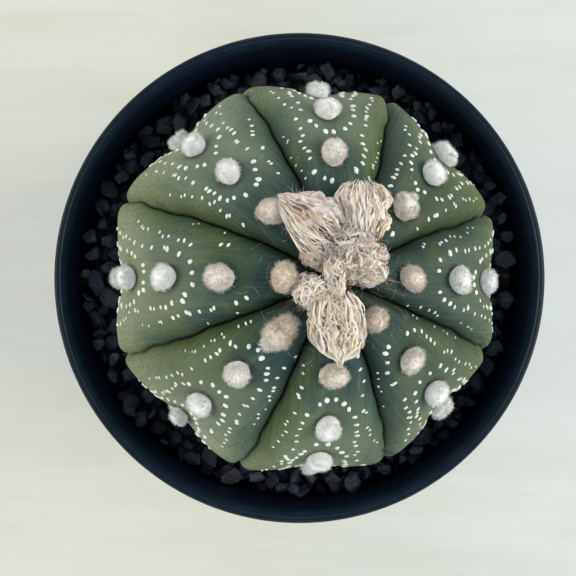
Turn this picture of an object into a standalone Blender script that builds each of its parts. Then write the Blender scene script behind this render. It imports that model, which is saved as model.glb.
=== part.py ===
"""Potted star cactus: a leaning eight-ribbed dome with felt areoles and dried flowers,
in black grit in a round nursery pot. Metres, +Z up, origin under the pot's middle.
"""
import math

import bmesh
import bpy
from mathutils import Matrix, Vector, noise

MM = 0.001

# Pot
RIM_RADIUS = 45.0 * MM
POT_HEIGHT = 76.0 * MM
LIP_WIDTH = 2.6 * MM
LIP_HEIGHT = 3.0 * MM
LIP_ROUND = 0.9 * MM
COLLAR_BOTTOM = 62.0 * MM
COLLAR_STEP = 1.5 * MM
COLLAR_DRAFT = 0.045
WALL = 1.2 * MM
BASE_RADIUS = 31.5 * MM
FOOT_HEIGHT = 2.5 * MM
FOOT_WIDTH = 2.6 * MM
FLOOR_THICKNESS = 1.5 * MM
FLOOR_CORNER = 1.5 * MM
DRAIN_RADIUS = 3.5 * MM
DRAIN_CIRCLE_RADIUS = 19.0 * MM
DRAIN_COUNT = 6
TURN_STEPS = 48

# Fill
GAP = 0.35 * MM
GRAVEL_TOP = 67.0 * MM
GRAVEL_DEPTH = 8.0 * MM
GRAVEL_BUMP = 0.5 * MM
GRAVEL_BUMP_SPACING = 2.4 * MM
GRAVEL_RINGS = (0.45, 0.62, 0.72, 0.80, 0.87, 0.94, 1.0)  # shares of the pot's inside radius

# Plant. Its own frame has its axis on +Z and its widest ring at z = 0.
LEAN = math.radians(10.0)
PLANT_CENTRE = (1.3 * MM, -0.2 * MM, 76.0 * MM)
BODY_RADIUS = 36.0 * MM
DOME_HEIGHT = 24.5 * MM
NECK_RADIUS = 9.0 * MM
UNDERSIDE_DEPTH = 17.0 * MM
UNDERSIDE_FULLNESS = 0.75
TAP_ROOT = ((6.0, -20.5), (3.4, -26.0), (1.6, -32.0))  # radius and height in millimetres
TAP_ROOT_TIP = -36.0 * MM
CROWN_DIP = 0.8 * MM
CROWN_DIP_RADIUS = 5.0 * MM
GROOVE_AZIMUTHS = (20.5, 66.0, 110.0, 157.0, 202.5, 249.0, 293.0, 338.0)  # degrees, uneven as grown
GROOVE_BOWS = (5.0, -5.0, -4.0, -5.0, 1.5, -1.0, 2.0, 1.0)  # degrees each bends by near the crown
RIB_COUNT = len(GROOVE_AZIMUTHS)
GROOVE_DEPTH = 2.6 * MM
GROOVE_FADE_RADIUS = 8.0 * MM
NOTCH_DEPTH = 1.1 * MM
CREASE_DEPTH = 0.5 * MM
CREASE_WIDTH = 0.018
VALLEY_DEPTH = 3.3 * MM
VALLEY_HALF_WIDTH = 0.85
RIB_STATIONS = (-1.0, -0.93, -0.8, -0.55, -0.28, 0.0, 0.28, 0.55, 0.8, 0.93)

# Areoles follow one spiral: each is three ribs on from the last and a step further from the crown.
AREOLE_FIRST_RIB = 4
AREOLE_RIB_STEP = 3
AREOLE_FIRST_ARC = 8.3 * MM
AREOLE_ARC_STEP = 1.33 * MM
AREOLE_COUNT = 38
AREOLE_UNDER_FLOWER = 2
AREOLE_WITH_REMNANT = 3
TUFT_RADIUS = 2.3 * MM
TUFT_HEIGHT = 2.4 * MM
REMNANT_RADIUS = 3.1 * MM
OLD_TUFT_RADIUS = 1.9 * MM
OLD_TUFT_ARC = 46.0 * MM
TUFT_GROUND_CLEARANCE = 3.4 * MM

# Dried flowers on the crown, in the plant's plan view: name, x, y, half length, half width,
# height, heading in degrees, and how much wider the far end is than the middle.
FLOWERS = (
    ("dried_flower_nw", -5.0, 9.0, 3.9, 3.3, 3.8, 139.0, -0.2),
    ("dried_flower_ne", 4.3, 11.6, 4.6, 3.7, 4.2, 86.0, -0.05),
    ("dried_flower_east", 4.9, 2.7, 3.7, 3.6, 4.4, 340.0, 0.05),
    ("dried_flower_south", -0.1, -8.0, 4.6, 3.9, 4.8, 276.0, -0.25),
    ("dried_flower_west", -4.2, -2.2, 1.8, 1.7, 3.2, 235.0, 0.0),
)
FLOWER_GAP = 0.6 * MM
CROWN_WOOL = ("crown_wool", -0.3, -0.3, 2.4, 1.5, 3.2, 90.0, 0.0)

# Larger stones that lie loose on the gravel: azimuth, distance from the axis, half sizes
STONES = (
    (90.0, 38.4, 2.9, 1.5, 1.2),
    (118.0, 38.0, 1.9, 1.6, 1.3),
    (146.0, 38.2, 2.1, 1.5, 1.4),
    (165.0, 38.6, 1.8, 1.5, 1.3),
    (204.0, 38.2, 2.2, 1.6, 1.4),
    (232.0, 38.4, 1.9, 1.6, 1.2),
    (258.0, 38.6, 2.0, 1.5, 1.3),
    (48.0, 38.9, 1.7, 1.4, 1.2),
)
STONE_LUMPINESS = 0.35

# Looks: colour, roughness, metallic
LOOKS = {
    "black_plastic": ((0.012, 0.016, 0.024), 0.45, 0.0),
    "potting_mix": ((0.035, 0.022, 0.014), 0.95, 0.0),
    "lava_gravel": ((0.018, 0.019, 0.024), 0.85, 0.0),
    "cactus_skin": ((0.10, 0.15, 0.085), 0.5, 0.0),
    "felt": ((0.62, 0.60, 0.54), 0.95, 0.0),
    "dried_petals": ((0.55, 0.45, 0.34), 0.85, 0.0),
}


def clear_scene():
    for obj in list(bpy.data.objects):
        bpy.data.objects.remove(obj, do_unlink=True)


def new_collection(name):
    collection = bpy.data.collections.new(name)
    bpy.context.scene.collection.children.link(collection)
    return collection


def material(name):
    found = bpy.data.materials.get(name)
    if found:
        return found
    colour, roughness, metallic = LOOKS[name]
    made = bpy.data.materials.new(name)
    made.use_nodes = True
    shader = made.node_tree.nodes["Principled BSDF"]
    shader.inputs["Base Color"].default_value = (*colour, 1.0)
    shader.inputs["Roughness"].default_value = roughness
    shader.inputs["Metallic"].default_value = metallic
    return made


def add_object(name, mesh, collection, look=None):
    obj = bpy.data.objects.new(name, mesh)
    collection.objects.link(obj)
    if look:
        mesh.materials.append(material(look))
    return obj


def mesh_from(name, bm, find_outside=True):
    if find_outside:
        bmesh.ops.recalc_face_normals(bm, faces=bm.faces)
    mesh = bpy.data.meshes.new(name)
    bm.to_mesh(mesh)
    bm.free()
    return mesh


def as_cutter(obj):
    obj.hide_render = True
    obj.display_type = "WIRE"


def cut(obj, cutter):
    boolean = obj.modifiers.new("cut_" + cutter.name, "BOOLEAN")
    boolean.operation = "DIFFERENCE"
    boolean.solver = "EXACT"
    boolean.object = cutter


def smoothstep(low, high, value):
    t = min(max((value - low) / (high - low), 0.0), 1.0)
    return t * t * (3.0 - 2.0 * t)


# ---- turned pieces ----


def turned(name, profile, collection, look):
    """A profile of (radius, z) points that starts and ends on the axis, turned round it."""
    mesh = bpy.data.meshes.new(name)
    points = [(radius, 0.0, z) for radius, z in profile]
    edges = [(i, i + 1) for i in range(len(points) - 1)]
    mesh.from_pydata(points, edges, [])
    obj = add_object(name, mesh, collection, look)
    screw = obj.modifiers.new("turn", "SCREW")
    screw.axis = "Z"
    screw.steps = TURN_STEPS
    screw.render_steps = TURN_STEPS
    screw.use_merge_vertices = True
    screw.merge_threshold = 0.00001
    screw.use_smooth_shade = True
    return obj


def inner_radius(z):
    """The pot's inside radius: a nearly straight collar over a tapering wall."""
    collar_inner = RIM_RADIUS - LIP_WIDTH
    if z >= COLLAR_BOTTOM:
        return collar_inner - (POT_HEIGHT - z) * COLLAR_DRAFT
    step_radius = collar_inner - (POT_HEIGHT - COLLAR_BOTTOM) * COLLAR_DRAFT - WALL
    base_inner = BASE_RADIUS - WALL
    return base_inner + (step_radius - base_inner) * z / COLLAR_BOTTOM


def lip_profile():
    """The rounded lip from its inner edge over the top to its outer lower edge."""
    inner = RIM_RADIUS - LIP_WIDTH
    points = []
    for centre_radius, start in ((inner + LIP_ROUND, 180), (RIM_RADIUS - LIP_ROUND, 90)):
        for step in range(4):
            angle = math.radians(start - 30 * step)
            radius = centre_radius + LIP_ROUND * math.cos(angle)
            points.append((radius, POT_HEIGHT - LIP_ROUND + LIP_ROUND * math.sin(angle)))
    points.append((RIM_RADIUS, POT_HEIGHT - LIP_HEIGHT))
    return points


def pot_profile():
    floor_top = FOOT_HEIGHT + FLOOR_THICKNESS
    step = COLLAR_STEP
    inside = [
        (0.0, floor_top),
        (inner_radius(floor_top) - FLOOR_CORNER, floor_top),
        (inner_radius(floor_top + FLOOR_CORNER), floor_top + FLOOR_CORNER),
        (inner_radius(COLLAR_BOTTOM - step), COLLAR_BOTTOM - step),
        (inner_radius(COLLAR_BOTTOM), COLLAR_BOTTOM),
    ]
    lip_under = POT_HEIGHT - LIP_HEIGHT
    outside = [
        (inner_radius(lip_under) + WALL, lip_under),
        (inner_radius(COLLAR_BOTTOM) + WALL, COLLAR_BOTTOM),
        (inner_radius(COLLAR_BOTTOM - step) + WALL, COLLAR_BOTTOM - step),
        (BASE_RADIUS + 0.3 * MM, 1.0 * MM),
        (BASE_RADIUS - 0.4 * MM, 0.0),
        (BASE_RADIUS - FOOT_WIDTH, 0.0),
        (BASE_RADIUS - FOOT_WIDTH - 0.4 * MM, FOOT_HEIGHT),
        (0.0, FOOT_HEIGHT),
    ]
    return inside + lip_profile() + outside


def drain_cutter(cutters):
    """Seven round holes through the floor: one in the middle and six round it."""
    bm = bmesh.new()
    places = [(0.0, 0.0)]
    for index in range(DRAIN_COUNT):
        angle = 2.0 * math.pi * index / DRAIN_COUNT
        places.append((DRAIN_CIRCLE_RADIUS * math.cos(angle), DRAIN_CIRCLE_RADIUS * math.sin(angle)))
    height = FOOT_HEIGHT + FLOOR_THICKNESS
    for x, y in places:
        bmesh.ops.create_cone(
            bm,
            cap_ends=True,
            segments=16,
            radius1=DRAIN_RADIUS,
            radius2=DRAIN_RADIUS,
            depth=2.0 * height,
            matrix=Matrix.Translation((x, y, height)),
        )
    cutter = add_object("drain_cutter", mesh_from("drain_cutter", bm), cutters)
    as_cutter(cutter)
    return cutter


def make_pot(parts, cutters):
    pot = turned("pot", pot_profile(), parts, "black_plastic")
    cut(pot, drain_cutter(cutters))
    return pot


def make_potting_mix(parts, clearance):
    """The plug of soil, a gap clear of the floor and the wall, hollowed for the tap root."""
    top = GRAVEL_TOP - GRAVEL_DEPTH - GAP
    floor_top = FOOT_HEIGHT + FLOOR_THICKNESS
    corner_top = floor_top + FLOOR_CORNER
    profile = [
        (0.0, top),
        (inner_radius(top) - GAP, top),
        (inner_radius(corner_top) - GAP, corner_top),
        (inner_radius(floor_top) - FLOOR_CORNER - GAP, floor_top + GAP),
        (0.0, floor_top + GAP),
    ]
    mix = turned("potting_mix", profile, parts, "potting_mix")
    cut(mix, clearance)
    return mix


def make_gravel_bed(parts, clearance):
    """One lumpy layer over the mix, open in the middle where the plant stands."""
    bm = bmesh.new()
    bottom = GRAVEL_TOP - GRAVEL_DEPTH
    outer = inner_radius(GRAVEL_TOP) - GAP
    rings = []
    for share in GRAVEL_RINGS:
        ring = []
        for step in range(TURN_STEPS):
            angle = 2.0 * math.pi * step / TURN_STEPS
            x = outer * share * math.cos(angle)
            y = outer * share * math.sin(angle)
            bump = GRAVEL_BUMP * noise.noise(Vector((x, y, 0.0)) / GRAVEL_BUMP_SPACING)
            ring.append(bm.verts.new((x, y, GRAVEL_TOP + bump)))
        rings.append(ring)
    under_step = COLLAR_BOTTOM - COLLAR_STEP
    side = (
        (inner_radius(COLLAR_BOTTOM) - GAP, COLLAR_BOTTOM),
        (inner_radius(under_step) - GAP, under_step),
        (inner_radius(bottom) - GAP, bottom),
    )
    for radius, z in side:
        ring = []
        for step in range(TURN_STEPS):
            angle = 2.0 * math.pi * step / TURN_STEPS
            ring.append(bm.verts.new((radius * math.cos(angle), radius * math.sin(angle), z)))
        rings.append(ring)
    bridge_rings(bm, rings)
    bm.faces.new(rings[0])
    bm.faces.new(rings[-1])
    bed = add_object("gravel_bed", mesh_from("gravel_bed", bm), parts, "lava_gravel")
    cut(bed, clearance)
    return bed


def bridge_rings(bm, rings):
    for upper, lower in zip(rings, rings[1:]):
        count = len(upper)
        for i in range(count):
            j = (i + 1) % count
            bm.faces.new((upper[i], lower[i], lower[j], upper[j]))


def make_stones(parts):
    for index, (azimuth, distance, length, width, height) in enumerate(STONES, start=1):
        bm = bmesh.new()
        bmesh.ops.create_icosphere(bm, subdivisions=1, radius=1.0)
        for vert in bm.verts:
            lump = noise.noise(vert.co * 1.3 + Vector((index * 7.3, 0.0, 0.0)))
            vert.co *= 1.0 - STONE_LUMPINESS * abs(lump)
            vert.co.x *= length * MM
            vert.co.y *= width * MM
            vert.co.z *= height * MM
        name = f"stone_{index}"
        stone = add_object(name, mesh_from(name, bm), parts, "lava_gravel")
        angle = math.radians(azimuth)
        rest = GRAVEL_TOP + GRAVEL_BUMP + GAP + height * MM
        stone.location = (distance * MM * math.cos(angle), distance * MM * math.sin(angle), rest)
        stone.rotation_euler = (0.0, 0.0, angle + math.pi / 2.0)


# ---- the plant's skin, in the plant's own frame ----


def rib_of(azimuth):
    """The rib that an azimuth in radians falls on, and its place there from -1 to 1."""
    degrees = math.degrees(azimuth) % 360.0
    for rib in range(RIB_COUNT):
        low, high = rib_limits(rib)
        for turn in (0.0, 360.0):
            if low <= degrees - turn <= high:
                middle = (low + high) / 2.0
                return rib, (degrees - turn - middle) / (high - middle)
    raise ValueError(azimuth)


def rib_limits(rib):
    high = GROOVE_AZIMUTHS[rib]
    low = GROOVE_AZIMUTHS[rib - 1]
    if rib == 0:
        low -= 360.0
    return low, high


def rib_azimuth(rib, place):
    low, high = rib_limits(rib)
    middle = (low + high) / 2.0
    return math.radians(middle + place * (high - middle))


def groove_bow(theta, rib, place):
    """How far the skin is turned, in radians, where a groove bends on its way to the crown."""
    groove = rib if place > 0.0 else rib - 1
    inward = 1.0 - smoothstep(0.15, 0.97, math.sin(min(theta, math.pi / 2.0)))
    return math.radians(GROOVE_BOWS[groove]) * inward * abs(place) ** 1.5


def relief(theta, place):
    """How far the ribs stand in from the smooth dome: grooves at the ends, a valley mid-rib."""
    share = theta / (math.pi / 2.0)
    side = abs(place)
    crown_fade = 1.0 - math.exp(-BODY_RADIUS * math.sin(theta) / GROOVE_FADE_RADIUS)
    narrowing = smoothstep(0.35, 0.95, share)
    wide_start = 0.42 + 0.46 * narrowing
    depth = (GROOVE_DEPTH * (1.0 - narrowing) + NOTCH_DEPTH * narrowing) * crown_fade
    slope = max(side - wide_start, 0.0) / (1.0 - wide_start)
    crease = CREASE_DEPTH * crown_fade * math.exp(-(1.0 - side) / CREASE_WIDTH)
    reach = VALLEY_HALF_WIDTH * (0.35 + 0.65 * smoothstep(0.1, 0.85, share))
    inside = max(1.01 - math.sqrt((side / reach) ** 2 + 0.02), 0.0)
    valley = VALLEY_DEPTH * smoothstep(0.12, 1.05, share) * inside**1.25
    fade_below = 1.0 - smoothstep(1.35, 1.95, share)
    return (depth * slope**2 + crease + valley) * fade_below


def meridian(theta):
    """The smooth dome's radius and height at an angle from the crown."""
    sine = max(math.sin(theta), 0.0)
    cosine = math.cos(theta)
    if cosine >= 0.0:
        radius = BODY_RADIUS * sine
        dip = CROWN_DIP * math.exp(-((radius / CROWN_DIP_RADIUS) ** 2))
        return radius, DOME_HEIGHT * cosine - dip
    radius = NECK_RADIUS + (BODY_RADIUS - NECK_RADIUS) * sine**UNDERSIDE_FULLNESS
    return radius, UNDERSIDE_DEPTH * cosine


def skin(theta, azimuth, lift=0.0, rib=0, place=None):
    """A point of the skin, moved out by lift along the smooth dome's normal."""
    if place is None:
        rib, place = rib_of(azimuth)
    azimuth += groove_bow(theta, rib, place)
    step = 0.001
    low = max(theta - step, 0.0)
    high = min(theta + step, math.pi)
    radius_low, z_low = meridian(low)
    radius_high, z_high = meridian(high)
    along = Vector((radius_high - radius_low, z_high - z_low)).normalized()
    radius, z = meridian(theta)
    offset = lift - relief(theta, place)
    radius += offset * -along.y
    z += offset * along.x
    return Vector((radius * math.cos(azimuth), radius * math.sin(azimuth), z))


def arc_to_theta(arc):
    """The angle from the crown at which the dome's meridian has run a given length."""
    theta = 0.0
    length = 0.0
    step = math.radians(0.25)
    radius, z = meridian(0.0)
    while length < arc and theta < math.pi:
        theta += step
        next_radius, next_z = meridian(theta)
        length += math.hypot(next_radius - radius, next_z - z)
        radius, z = next_radius, next_z
    return theta


def skin_thetas():
    """Angles from the crown to the neck, closer together at the crown and the widest ring."""
    upper = (4, 9, 15, 22, 30, 38, 47, 56, 65, 74, 82, 90)
    lower = (98, 108, 120, 133, 148, 163, 176)
    return [math.radians(angle) for angle in upper + lower]


def body_mesh(name, lift):
    """The ribbed dome, its underside and the tap root as one closed loft."""
    bm = bmesh.new()
    rings = []
    for theta in skin_thetas():
        ring = []
        for rib in range(RIB_COUNT):
            for place in RIB_STATIONS:
                ring.append(bm.verts.new(skin(theta, rib_azimuth(rib, place), lift, rib, place)))
        rings.append(ring)
    for radius, z in TAP_ROOT:
        ring = []
        for rib in range(RIB_COUNT):
            for place in RIB_STATIONS:
                azimuth = rib_azimuth(rib, place)
                reach = radius * MM + lift
                ring.append(bm.verts.new((reach * math.cos(azimuth), reach * math.sin(azimuth), z * MM)))
        rings.append(ring)
    bridge_rings(bm, rings)
    crown = bm.verts.new(skin(0.0, 0.0, lift, 0, 0.0))
    tip = bm.verts.new((0.0, 0.0, TAP_ROOT_TIP - lift))
    count = len(rings[0])
    for i in range(count):
        j = (i + 1) % count
        bm.faces.new((crown, rings[0][i], rings[0][j]))
        bm.faces.new((tip, rings[-1][j], rings[-1][i]))
    mesh = mesh_from(name, bm)
    mesh.shade_smooth()
    return mesh


# ---- felt and flowers, laid on the skin ----


def crown_place(x, y):
    """The skin's angle and azimuth under a point of the plan view near the crown."""
    distance = math.hypot(x, y)
    return math.asin(min(distance / BODY_RADIUS, 1.0)), math.atan2(y, x)


def cushion_mesh(name, place, half_length, half_width, height, flare=0.0, gap=GAP):
    """A closed dome whose underside follows the skin a gap above it.

    place(x, y) gives the skin's angle and azimuth for a point of the dome's own plan.
    """
    bm = bmesh.new()
    bmesh.ops.create_uvsphere(bm, u_segments=8, v_segments=6, radius=1.0)
    for vert in bm.verts:
        along, across, up = vert.co
        theta, azimuth = place(half_length * along, half_width * across * (1.0 + flare * along))
        vert.co = skin(theta, azimuth, gap + height * max(up, 0.0))
    mesh = mesh_from(name, bm, find_outside=False)
    mesh.shade_smooth()
    return mesh


def rib_cushion(name, rib, arc, radius, height):
    theta_middle = arc_to_theta(arc)
    azimuth_middle = rib_azimuth(rib, 0.0)
    step = math.radians(0.5)
    radius_here, z_here = meridian(theta_middle)
    radius_next, z_next = meridian(theta_middle + step)
    length_per_radian = math.hypot(radius_next - radius_here, z_next - z_here) / step

    def place(x, y):
        return theta_middle + x / length_per_radian, azimuth_middle + y / radius_here

    return cushion_mesh(name, place, radius, radius, height)


def crown_cushion(name, x, y, half_length, half_width, height, heading, flare):
    angle = math.radians(heading)

    def place(along, across):
        turned_x = x * MM + along * math.cos(angle) - across * math.sin(angle)
        turned_y = y * MM + along * math.sin(angle) + across * math.cos(angle)
        return crown_place(turned_x, turned_y)

    size = (half_length * MM, half_width * MM, height * MM)
    return cushion_mesh(name, place, *size, flare, FLOWER_GAP)


def tuft_size(index, arc):
    if index == AREOLE_WITH_REMNANT:
        return REMNANT_RADIUS, TUFT_HEIGHT * 1.3
    if arc > OLD_TUFT_ARC:
        return OLD_TUFT_RADIUS, TUFT_HEIGHT * 0.75
    return TUFT_RADIUS, TUFT_HEIGHT


def make_tufts(parts, axis):
    to_world = axis.matrix_basis
    for index in range(AREOLE_COUNT):
        if index == AREOLE_UNDER_FLOWER:
            continue
        rib = (AREOLE_FIRST_RIB + AREOLE_RIB_STEP * index) % RIB_COUNT
        arc = AREOLE_FIRST_ARC + AREOLE_ARC_STEP * index
        middle = to_world @ skin(arc_to_theta(arc), rib_azimuth(rib, 0.0))
        if middle.z < GRAVEL_TOP + TUFT_GROUND_CLEARANCE:
            continue
        radius, height = tuft_size(index, arc)
        name = f"wool_tuft_{index:02d}"
        mesh = rib_cushion(name, rib, arc, radius, height)
        add_object(name, mesh, parts, "felt").parent = axis


def make_crown(parts, axis):
    for flower in FLOWERS:
        mesh = crown_cushion(*flower)
        add_object(flower[0], mesh, parts, "dried_petals").parent = axis
    mesh = crown_cushion(*CROWN_WOOL)
    add_object(CROWN_WOOL[0], mesh, parts, "felt").parent = axis


def make_plant_axis(parts):
    axis = bpy.data.objects.new("plant_axis", None)
    parts.objects.link(axis)
    axis.location = PLANT_CENTRE
    axis.rotation_euler = (0.0, LEAN, 0.0)
    return axis


def main():
    clear_scene()
    parts = new_collection("potted_star_cactus")
    cutters = new_collection("cutters")
    axis = make_plant_axis(parts)
    add_object("cactus_body", body_mesh("cactus_body", 0.0), parts, "cactus_skin").parent = axis
    clearance = add_object("body_clearance", body_mesh("body_clearance", GAP), cutters)
    clearance.parent = axis
    as_cutter(clearance)
    make_pot(parts, cutters)
    make_potting_mix(parts, clearance)
    make_gravel_bed(parts, clearance)
    make_stones(parts)
    make_tufts(parts, axis)
    make_crown(parts, axis)


main()
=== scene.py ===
"""The looks of the potted star cactus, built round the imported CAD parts. Metres, +Z up."""
import math
from functools import partial

import bmesh
import bpy
import numpy as np
from mathutils import Matrix, Vector, noise


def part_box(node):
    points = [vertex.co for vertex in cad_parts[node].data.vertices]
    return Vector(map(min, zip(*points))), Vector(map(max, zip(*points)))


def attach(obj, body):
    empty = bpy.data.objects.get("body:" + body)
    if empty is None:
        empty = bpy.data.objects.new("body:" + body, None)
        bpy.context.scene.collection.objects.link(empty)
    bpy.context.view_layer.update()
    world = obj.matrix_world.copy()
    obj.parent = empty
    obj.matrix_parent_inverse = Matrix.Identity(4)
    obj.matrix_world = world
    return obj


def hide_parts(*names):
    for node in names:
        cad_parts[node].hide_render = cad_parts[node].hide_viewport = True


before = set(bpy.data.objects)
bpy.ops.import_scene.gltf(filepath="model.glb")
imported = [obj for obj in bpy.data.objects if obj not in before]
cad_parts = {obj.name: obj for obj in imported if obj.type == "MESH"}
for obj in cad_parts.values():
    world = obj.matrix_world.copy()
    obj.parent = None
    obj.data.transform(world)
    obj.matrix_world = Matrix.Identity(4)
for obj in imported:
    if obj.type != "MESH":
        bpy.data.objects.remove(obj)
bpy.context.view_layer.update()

MM = 0.001

# The plant's own frame: its axis on +Z, its widest ring at z = 0. The same figures as the CAD.
LEAN = math.radians(10.0)
PLANT_CENTRE = np.array((1.3, -0.2, 76.0)) * MM
BODY_RADIUS = 36.0 * MM
DOME_HEIGHT = 24.5 * MM
NECK_RADIUS = 9.0 * MM
UNDERSIDE_DEPTH = 17.0 * MM
UNDERSIDE_FULLNESS = 0.75
CROWN_DIP = 0.8 * MM
CROWN_DIP_RADIUS = 5.0 * MM
GROOVE_AZIMUTHS = np.array((20.5, 66.0, 110.0, 157.0, 202.5, 249.0, 293.0, 338.0))
GROOVE_BOWS = np.radians((5.0, -5.0, -4.0, -5.0, 1.5, -1.0, 2.0, 1.0))
RIB_COUNT = len(GROOVE_AZIMUTHS)
GROOVE_DEPTH = 2.6 * MM
GROOVE_FADE_RADIUS = 8.0 * MM
NOTCH_DEPTH = 1.1 * MM
CREASE_DEPTH = 0.5 * MM
CREASE_WIDTH = 0.018
VALLEY_DEPTH = 3.3 * MM
VALLEY_HALF_WIDTH = 0.85
AREOLE_FIRST_RIB = 4
AREOLE_RIB_STEP = 3
AREOLE_FIRST_ARC = 8.3 * MM
AREOLE_ARC_STEP = 1.33 * MM
AREOLE_COUNT = 38

RIM_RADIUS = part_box("pot")[1][0]
POT_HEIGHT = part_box("pot")[1][2]
GRAVEL_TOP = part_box("gravel_bed")[1][2] - 0.4 * MM


def smoothstep(low, high, value):
    """0 below low, 1 above high, and a soft step between them."""
    t = np.clip((value - low) / (high - low), 0.0, 1.0)
    return t * t * (3.0 - 2.0 * t)


def unit(vectors):
    """The same vectors at length 1."""
    return vectors / np.maximum(np.linalg.norm(vectors, axis=-1, keepdims=True), 1e-12)


# ---------------------------------------------------------------- the plant's skin


def rib_azimuth(rib, place):
    """The azimuth in radians of a place from -1 to 1 across a rib; its ends are the grooves."""
    high = GROOVE_AZIMUTHS[rib]
    low = np.where(rib == 0, GROOVE_AZIMUTHS[rib - 1] - 360.0, GROOVE_AZIMUTHS[rib - 1])
    return np.radians((low + high) / 2.0 + place * (high - low) / 2.0)


def rib_place(azimuth):
    """The rib an azimuth falls on and the place across it."""
    degrees = np.degrees(azimuth) % 360.0
    rib = np.searchsorted(GROOVE_AZIMUTHS, degrees) % RIB_COUNT
    high = GROOVE_AZIMUTHS[rib]
    low = np.where(rib == 0, GROOVE_AZIMUTHS[rib - 1] - 360.0, GROOVE_AZIMUTHS[rib - 1])
    degrees = np.where((rib == 0) & (degrees > 180.0), degrees - 360.0, degrees)
    return rib, (degrees - (low + high) / 2.0) / ((high - low) / 2.0)


def relief(theta, place):
    """How far the skin lies inside the smooth dome: a groove at each end, a valley mid-rib."""
    share = theta / (math.pi / 2.0)
    side = np.abs(place)
    crown_fade = 1.0 - np.exp(-BODY_RADIUS * np.sin(theta) / GROOVE_FADE_RADIUS)
    narrowing = smoothstep(0.35, 0.95, share)
    wide_start = 0.42 + 0.46 * narrowing
    depth = (GROOVE_DEPTH * (1.0 - narrowing) + NOTCH_DEPTH * narrowing) * crown_fade
    slope = np.maximum(side - wide_start, 0.0) / (1.0 - wide_start)
    crease = CREASE_DEPTH * crown_fade * np.exp(-((1.0 - side) / CREASE_WIDTH))
    reach = VALLEY_HALF_WIDTH * (0.35 + 0.65 * smoothstep(0.1, 0.85, share))
    inside = np.maximum(1.0 - np.sqrt((side / reach) ** 2 + 0.02) + 0.01, 0.0)
    valley = VALLEY_DEPTH * smoothstep(0.12, 1.05, share) * inside**1.25
    fade_below = 1.0 - smoothstep(1.35, 1.95, share)
    return (depth * slope**2.0 + crease + valley) * fade_below


def meridian(theta):
    """Radius and height of the smooth dome and underside at an angle from the crown."""
    sine = np.maximum(np.sin(theta), 0.0)
    cosine = np.cos(theta)
    upper = BODY_RADIUS * sine
    dip = CROWN_DIP * np.exp(-((upper / CROWN_DIP_RADIUS) ** 2))
    lower = NECK_RADIUS + (BODY_RADIUS - NECK_RADIUS) * sine**UNDERSIDE_FULLNESS
    radius = np.where(cosine >= 0.0, upper, lower)
    z = np.where(cosine >= 0.0, DOME_HEIGHT * cosine - dip, UNDERSIDE_DEPTH * cosine)
    return radius, z


def groove_wander(theta, rib, place):
    """How far the grooves stray from straight meridians: they bow and waver nearer the crown."""
    groove = np.where(place > 0.0, rib, rib - 1) % RIB_COUNT
    inward = 1.0 - smoothstep(0.15, 0.97, np.sin(np.minimum(theta, math.pi / 2.0)))
    waver = 0.006 * np.sin(theta * 13.0 + groove * 2.4) + 0.004 * np.sin(theta * 29.0 + groove * 4.1)
    return (GROOVE_BOWS[groove] * inward + waver * np.minimum(1.0, theta * 2.0)) * np.abs(place) ** 1.5


def skin(theta, azimuth, lift=0.0, place=None, rib=None):
    """Points of the skin in the plant's frame, moved out by lift along the smooth dome."""
    theta = np.asarray(theta, dtype=float)
    if place is None or rib is None:
        rib, place = rib_place(azimuth)
    azimuth = azimuth + groove_wander(theta, rib, place)
    step = 0.001
    radius_low, z_low = meridian(np.maximum(theta - step, 0.0))
    radius_high, z_high = meridian(np.minimum(theta + step, math.pi))
    along = unit(np.stack((radius_high - radius_low, z_high - z_low), axis=-1))
    radius, z = meridian(theta)
    offset = lift - relief(theta, place)
    radius = radius - offset * along[..., 1]
    z = z + offset * along[..., 0]
    return np.stack((radius * np.cos(azimuth), radius * np.sin(azimuth), z), axis=-1)


def to_world(points):
    """From the plant's frame to the scene's: leaning towards +X, on its centre."""
    x, y, z = points[..., 0], points[..., 1], points[..., 2]
    leaning = (x * math.cos(LEAN) + z * math.sin(LEAN), y, z * math.cos(LEAN) - x * math.sin(LEAN))
    return np.stack(leaning, axis=-1) + PLANT_CENTRE


THETA_TABLE = np.linspace(0.0, math.pi, 1441)
ARC_TABLE = np.concatenate(([0.0], np.cumsum(np.hypot(*np.diff(meridian(THETA_TABLE), axis=-1)))))


def arc_to_theta(arc):
    """The angle from the crown at a distance measured along the skin."""
    return np.interp(arc, ARC_TABLE, THETA_TABLE)


def areoles():
    """Each areole's number, rib and arc length from the crown, along the plant's spiral."""
    for index in range(-1, AREOLE_COUNT):
        rib = (AREOLE_FIRST_RIB + AREOLE_RIB_STEP * index) % RIB_COUNT
        yield index, rib, AREOLE_FIRST_ARC + AREOLE_ARC_STEP * index


# ---------------------------------------------------------------- meshes


def mesh_object(name, verts, faces, material, attributes=None, smooth=True):
    """A mesh from numpy points and faces, with named per-point values for its material."""
    mesh = bpy.data.meshes.new(name)
    mesh.from_pydata(np.asarray(verts).tolist(), [], faces)
    for key, values in (attributes or {}).items():
        values = np.asarray(values, dtype=np.float32)
        if values.ndim == 2:
            layer = mesh.attributes.new(key, "FLOAT_VECTOR", "POINT")
            layer.data.foreach_set("vector", values.ravel())
        else:
            layer = mesh.attributes.new(key, "FLOAT", "POINT")
            layer.data.foreach_set("value", values)
    mesh.materials.append(material)
    if smooth:
        mesh.shade_smooth()
    mesh.update()
    obj = bpy.data.objects.new(name, mesh)
    bpy.context.scene.collection.objects.link(obj)
    return obj


def place_piece(obj, slot, *replaced):
    """Every piece rides on the one body and stands for the CAD nodes it replaces."""
    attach(obj, "root")
    if replaced:
        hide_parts(*replaced)


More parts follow.
